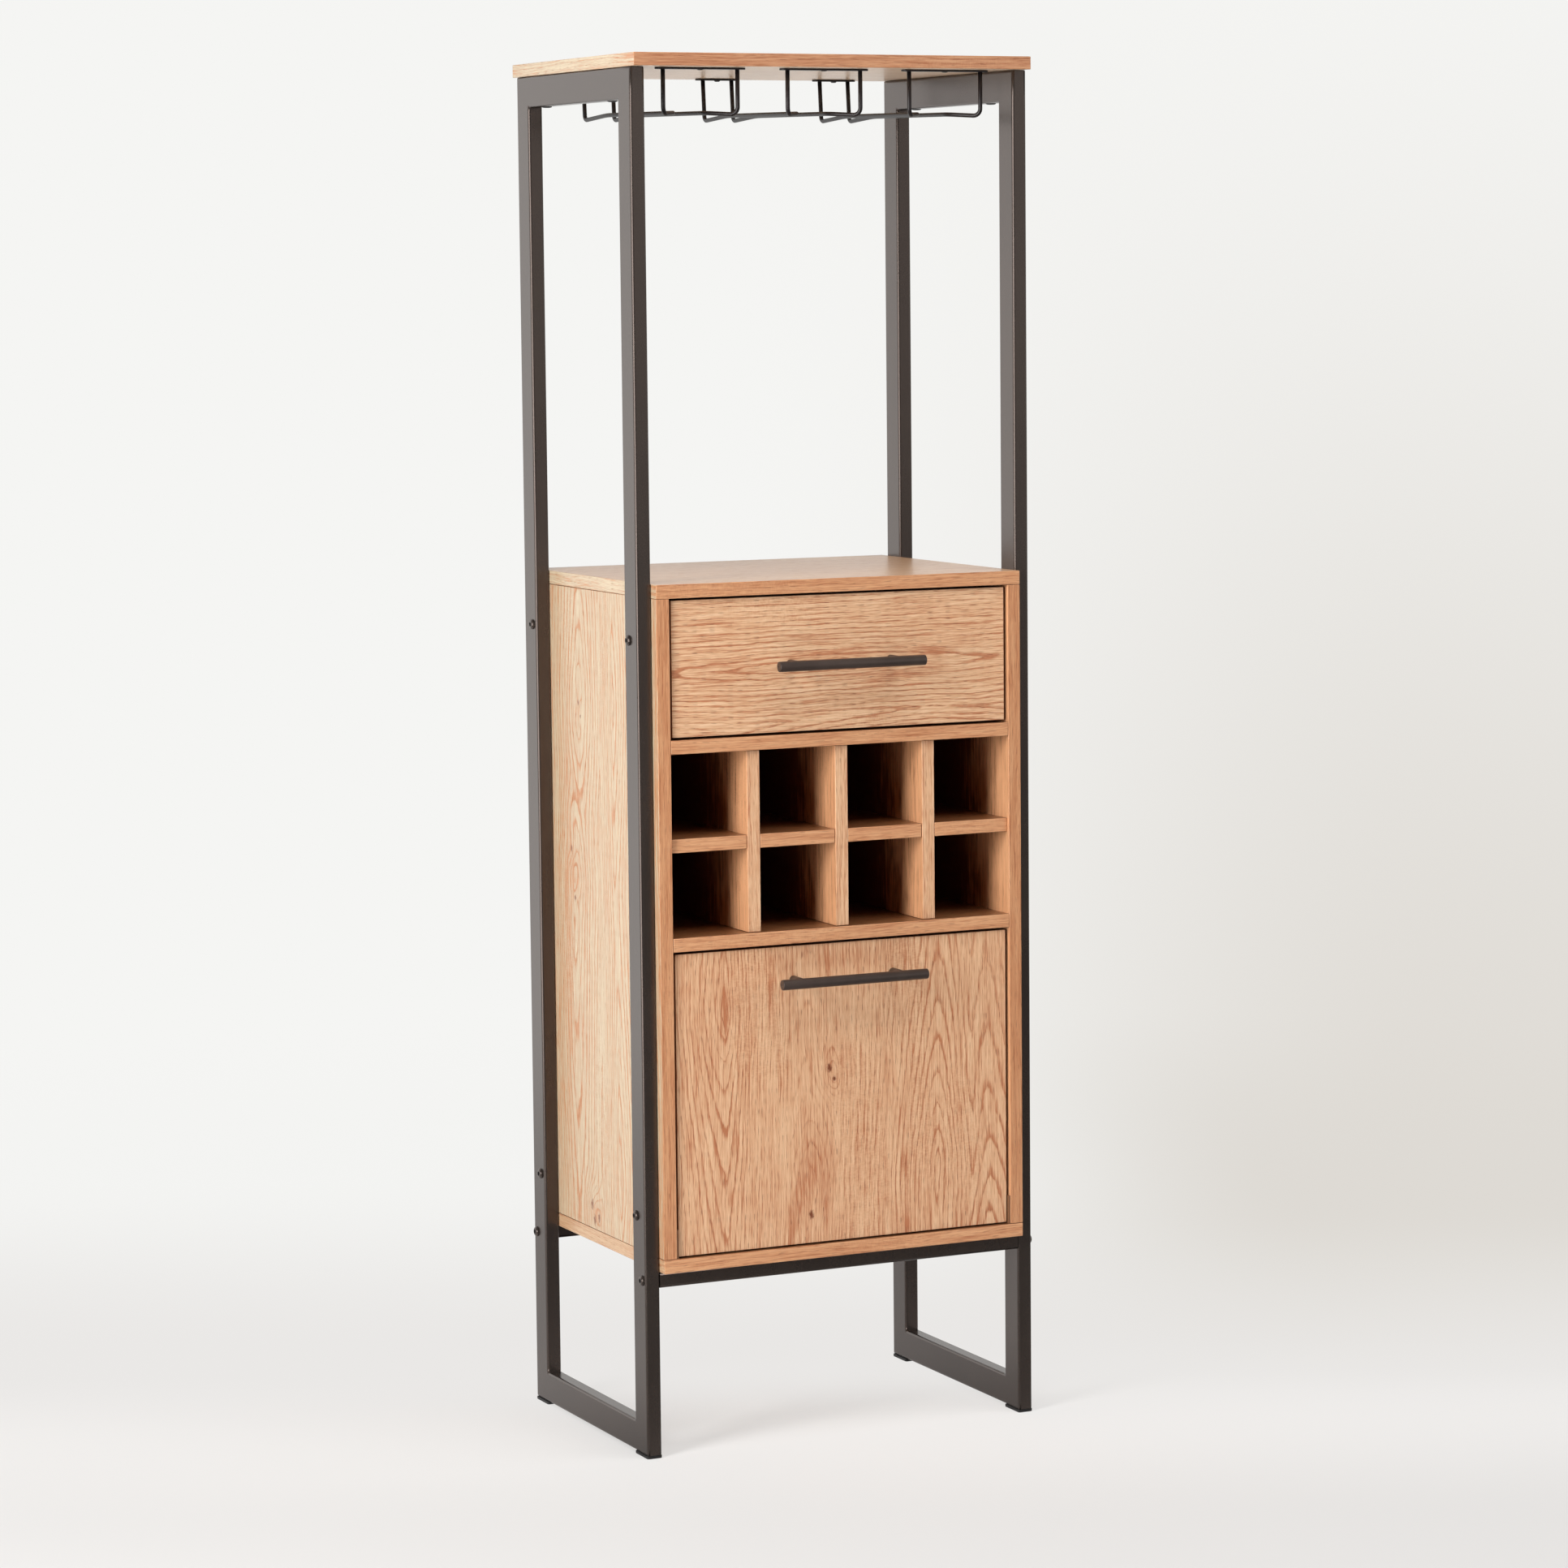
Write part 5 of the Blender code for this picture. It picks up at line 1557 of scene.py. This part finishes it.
@dataclass
class Studio:
    """The pale floor, the surroundings and the lamps.

    Aside and away are directions on the floor, to the photograph's right and away from its camera.
    The floor's spans are metres, and spans named right, back, up, foot or head are parts of a
    direction. Gloss, share and ambient values are strengths.
    """

    floor_colour: Colour = paint(239, 237, 235)
    backdrop: Colour = paint(245, 245, 243)
    near_glow: Colour = paint(228, 226, 224)
    middle_glow: Colour = paint(247, 245, 243)
    rear_glow: Colour = paint(235, 233, 231)
    backdrop_shade: Colour = paint(223, 219, 213)
    aside: Triple = (0.9018, -0.4321, 0.0)
    away: Triple = (0.4321, 0.9018, 0.0)
    floor_radius: float = 9.0
    floor_segments: int = 96
    floor_drop: float = 0.0002
    floor_roughness: float = 0.9
    floor_specular: float = 0.1
    floor_share: Span = (0.58, 0.97)
    rise: Span = (-0.55, -0.05)
    fall: Span = (-0.1, 0.2)
    floor_shade: Span = (0.1, 0.75)
    shade_start: Span = (-0.1, 1.2)
    paling: Span = (0.3, 1.5)
    fade: Span = (1.3, 3.2)
    floor_gloss: float = 0.2
    floor_gloss_fade: Span = (-0.5, 0.4)
    ambient: Span = (0.02, 0.2)
    ambient_back: Span = (-0.3, 0.7)
    shade_right: Span = (-0.03, 0.13)
    shade_up: Span = (0.1, -0.2)
    front_gloss: Span = (0.15, 1.0)
    front_foot: Span = (-0.1, 0.0)
    front_head: Span = (0.4, 0.15)
    front_right: Span = (-0.1, 0.2)
    room_back: Span = (0.15, 0.7)
    left_gloss: float = 0.5
    left_right: Span = (-0.1, -0.4)
    left_back: Span = (0.3, 0.7)
    side_gloss: float = 6.5
    side_right: Span = (-0.6, -0.8)
    side_back: Span = (0.05, -0.1)
    side_foot: Span = (-0.45, -0.3)
    side_head: Span = (0.45, 0.3)
    lamps: tuple[Lamp, ...] = (
        Lamp("key_softbox", (-3.0, -1.35, 1.55), (1.0, 2.6), 126.0),
        Lamp("right_fill", (3.2, -2.2, 2.2), (2.5, 2.5), 50.0),
        Lamp("overhead", (0.0, -1.5, 3.9), (3.0, 2.0), 74.0),
    )

    def build(self) -> None:
        """Sets up the floor, the surroundings and the lamps."""
        self.lay_floor()
        self.surround()
        for lamp in self.lamps:
            lamp.hang()

    def lay_floor(self) -> None:
        """Lays the floor."""
        bm = bmesh.new()
        bmesh.ops.create_circle(bm, cap_ends=True, radius=self.floor_radius, segments=self.floor_segments)
        mesh = bpy.data.meshes.new("studio_floor")
        bm.to_mesh(mesh)
        bm.free()
        floor = bpy.data.objects.new("studio_floor", mesh)
        floor.location.z = -self.floor_drop
        bpy.context.scene.collection.objects.link(floor)
        material = bpy.data.materials.new("studio_floor")
        material.use_nodes = True
        self.paint_floor(material.node_tree)
        mesh.materials.append(material)

    def paint_floor(self, tree: Group) -> None:
        """Makes a floor that keeps shadows and fades into the backdrop's colour away from the cabinet.

        Args:
            tree: The floor material's nodes.
        """
        sheet = NodeSheet(tree)
        shader = tree.nodes["Principled BSDF"]
        finish = {
            "Base Color": self.floor_colour,
            "Roughness": self.floor_roughness,
            "Specular IOR Level": self.floor_specular,
        }
        sheet.fill(shader, finish)
        place = sheet.add("ShaderNodeTexCoord").outputs["Object"]
        right = sheet.ease(sheet.vector("DOT_PRODUCT", place, self.aside), *self.floor_shade)
        reach = sheet.vector("DOT_PRODUCT", place, self.away)
        shade = sheet.times(right, sheet.ease(reach, *self.shade_start))
        front = sheet.mix(sheet.ease(reach, *self.rise), self.near_glow, self.middle_glow)
        middle = sheet.mix(sheet.ease(reach, *self.fall), front, self.rear_glow)
        plain = sheet.mix(sheet.ease(reach, *self.paling), middle, self.backdrop)
        glow = sheet.add("ShaderNodeEmission", sheet.mix(shade, plain, self.backdrop_shade)).outputs[0]
        straight, glossy = self.rays(sheet)
        share = sheet.times(
            sheet.math("MAXIMUM", straight, glossy), sheet.ease(reach, *self.fall, *self.floor_share)
        )
        lit = sheet.blend(share, shader.outputs[0], glow)
        unlit = sheet.add("ShaderNodeEmission", WHITE, 0.0).outputs[0]
        dark = sheet.ease(sheet.split(place)[1], *self.floor_gloss_fade, 1.0 - self.floor_gloss, 0.0)
        dimmed = sheet.blend(sheet.times(glossy, dark), lit, unlit)
        open_air = sheet.add("ShaderNodeBsdfTransparent").outputs[0]
        far = sheet.ease(sheet.vector("LENGTH", place), *self.fade)
        sheet.fill(tree.nodes["Material Output"], {"Surface": sheet.blend(far, dimmed, open_air)})

    @staticmethod
    def rays(sheet: NodeSheet) -> tuple[Socket, Socket]:
        """Tells the rays that show the studio: straight or through glass, and in gloss.

        Args:
            sheet: The sheet to work on.

        Returns:
            1 for a straight ray, else 0, and 1 for a glossy ray, else 0.
        """
        path = sheet.add("ShaderNodeLightPath")
        straight = sheet.math("MAXIMUM", path.outputs["Is Camera Ray"], path.outputs["Is Transmission Ray"])
        return straight, path.outputs["Is Glossy Ray"]

    def surround(self) -> None:
        """Makes a pale backdrop behind the cabinet, and in gloss a dimmer room with a strip of light."""
        world = bpy.data.worlds.new("studio")
        bpy.context.scene.world = world
        world.use_nodes = True
        sheet = NodeSheet(world.node_tree)
        nodes = world.node_tree.nodes
        direction = sheet.add("ShaderNodeTexCoord").outputs["Generated"]
        right, back, up = sheet.split(direction)
        strength = sheet.ease(back, *self.ambient_back, *self.ambient)
        sheet.fill(nodes["Background"], {"Color": WHITE, "Strength": strength})
        beside = sheet.vector("DOT_PRODUCT", direction, self.aside)
        shade = sheet.times(sheet.ease(beside, *self.shade_right), sheet.ease(up, *self.shade_up))
        low = sheet.times(sheet.ease(up, *self.front_foot), sheet.ease(up, *self.front_head))
        band = sheet.times(low, sheet.ease(right, *self.front_right))
        front = sheet.ease(band, 0.0, 1.0, *self.front_gloss)
        room = sheet.ease(back, *self.room_back, front, 1.0)
        left = sheet.times(sheet.ease(right, *self.left_right), sheet.ease(back, *self.left_back))
        strip = sheet.times(sheet.ease(right, *self.side_right), sheet.ease(back, *self.side_back))
        tall = sheet.times(sheet.ease(up, *self.side_foot), sheet.ease(up, *self.side_head))
        gloss = sheet.math("MULTIPLY_ADD", left, self.left_gloss, room)
        gloss = sheet.math("MULTIPLY_ADD", sheet.times(strip, tall), self.side_gloss, gloss)
        straight, glossy = self.rays(sheet)
        colour = sheet.mix(shade, self.backdrop, self.backdrop_shade)
        shown = sheet.add("ShaderNodeBackground", colour, sheet.sum((straight, 1.0), (glossy, gloss)))
        seen = sheet.math("MAXIMUM", straight, glossy)
        blend = sheet.blend(seen, nodes["Background"].outputs[0], shown.outputs[0])
        sheet.fill(nodes["World Output"], {"Surface": blend})


@dataclass
class Viewpoint:
    """The camera of the photograph, fitted to the frame's corners."""

    place: Triple = (-2.378, -5.075, 1.3621)
    yaw: float = math.radians(25.598)
    pitch: float = math.radians(-5.923)
    roll: float = math.radians(-0.528)
    focal_pixels: float = 5872.8
    centre: Span = (1014.0, 936.0)
    reach: float = 100.0

    def build(self) -> None:
        """Sets up the camera and makes it the scene's."""
        data = bpy.data.cameras.new("viewpoint")
        data.sensor_width = SENSOR_MM
        data.lens = self.focal_pixels / IMAGE_PIXELS * SENSOR_MM
        data.shift_x = (IMAGE_PIXELS / 2 - self.centre[0]) / IMAGE_PIXELS
        data.shift_y = (self.centre[1] - IMAGE_PIXELS / 2) / IMAGE_PIXELS
        data.clip_end = self.reach
        camera = bpy.data.objects.new("viewpoint", data)
        flat = math.cos(self.pitch)
        forward = Vector((math.sin(self.yaw) * flat, math.cos(self.yaw) * flat, math.sin(self.pitch)))
        right = Vector((math.cos(self.yaw), -math.sin(self.yaw), 0.0))
        up = right.cross(forward)
        turned_right = math.cos(self.roll) * right + math.sin(self.roll) * up
        turned_up = -math.sin(self.roll) * right + math.cos(self.roll) * up
        turn = Matrix((turned_right, turned_up, -forward)).transposed()
        camera.matrix_world = Matrix.Translation(self.place) @ turn.to_4x4()
        bpy.context.scene.collection.objects.link(camera)
        bpy.context.scene.camera = camera


def main() -> None:
    """Builds the camera, the studio and every piece in order."""
    logging.basicConfig(level=logging.INFO, format="%(message)s")
    bpy.context.scene.view_settings.view_transform = "Standard"
    Viewpoint().build()
    Studio().build()
    Ironwork().build()
    Carcass().build()
    Fronts().build()
    Fittings().dress()


if __name__ == "__main__":
    main()
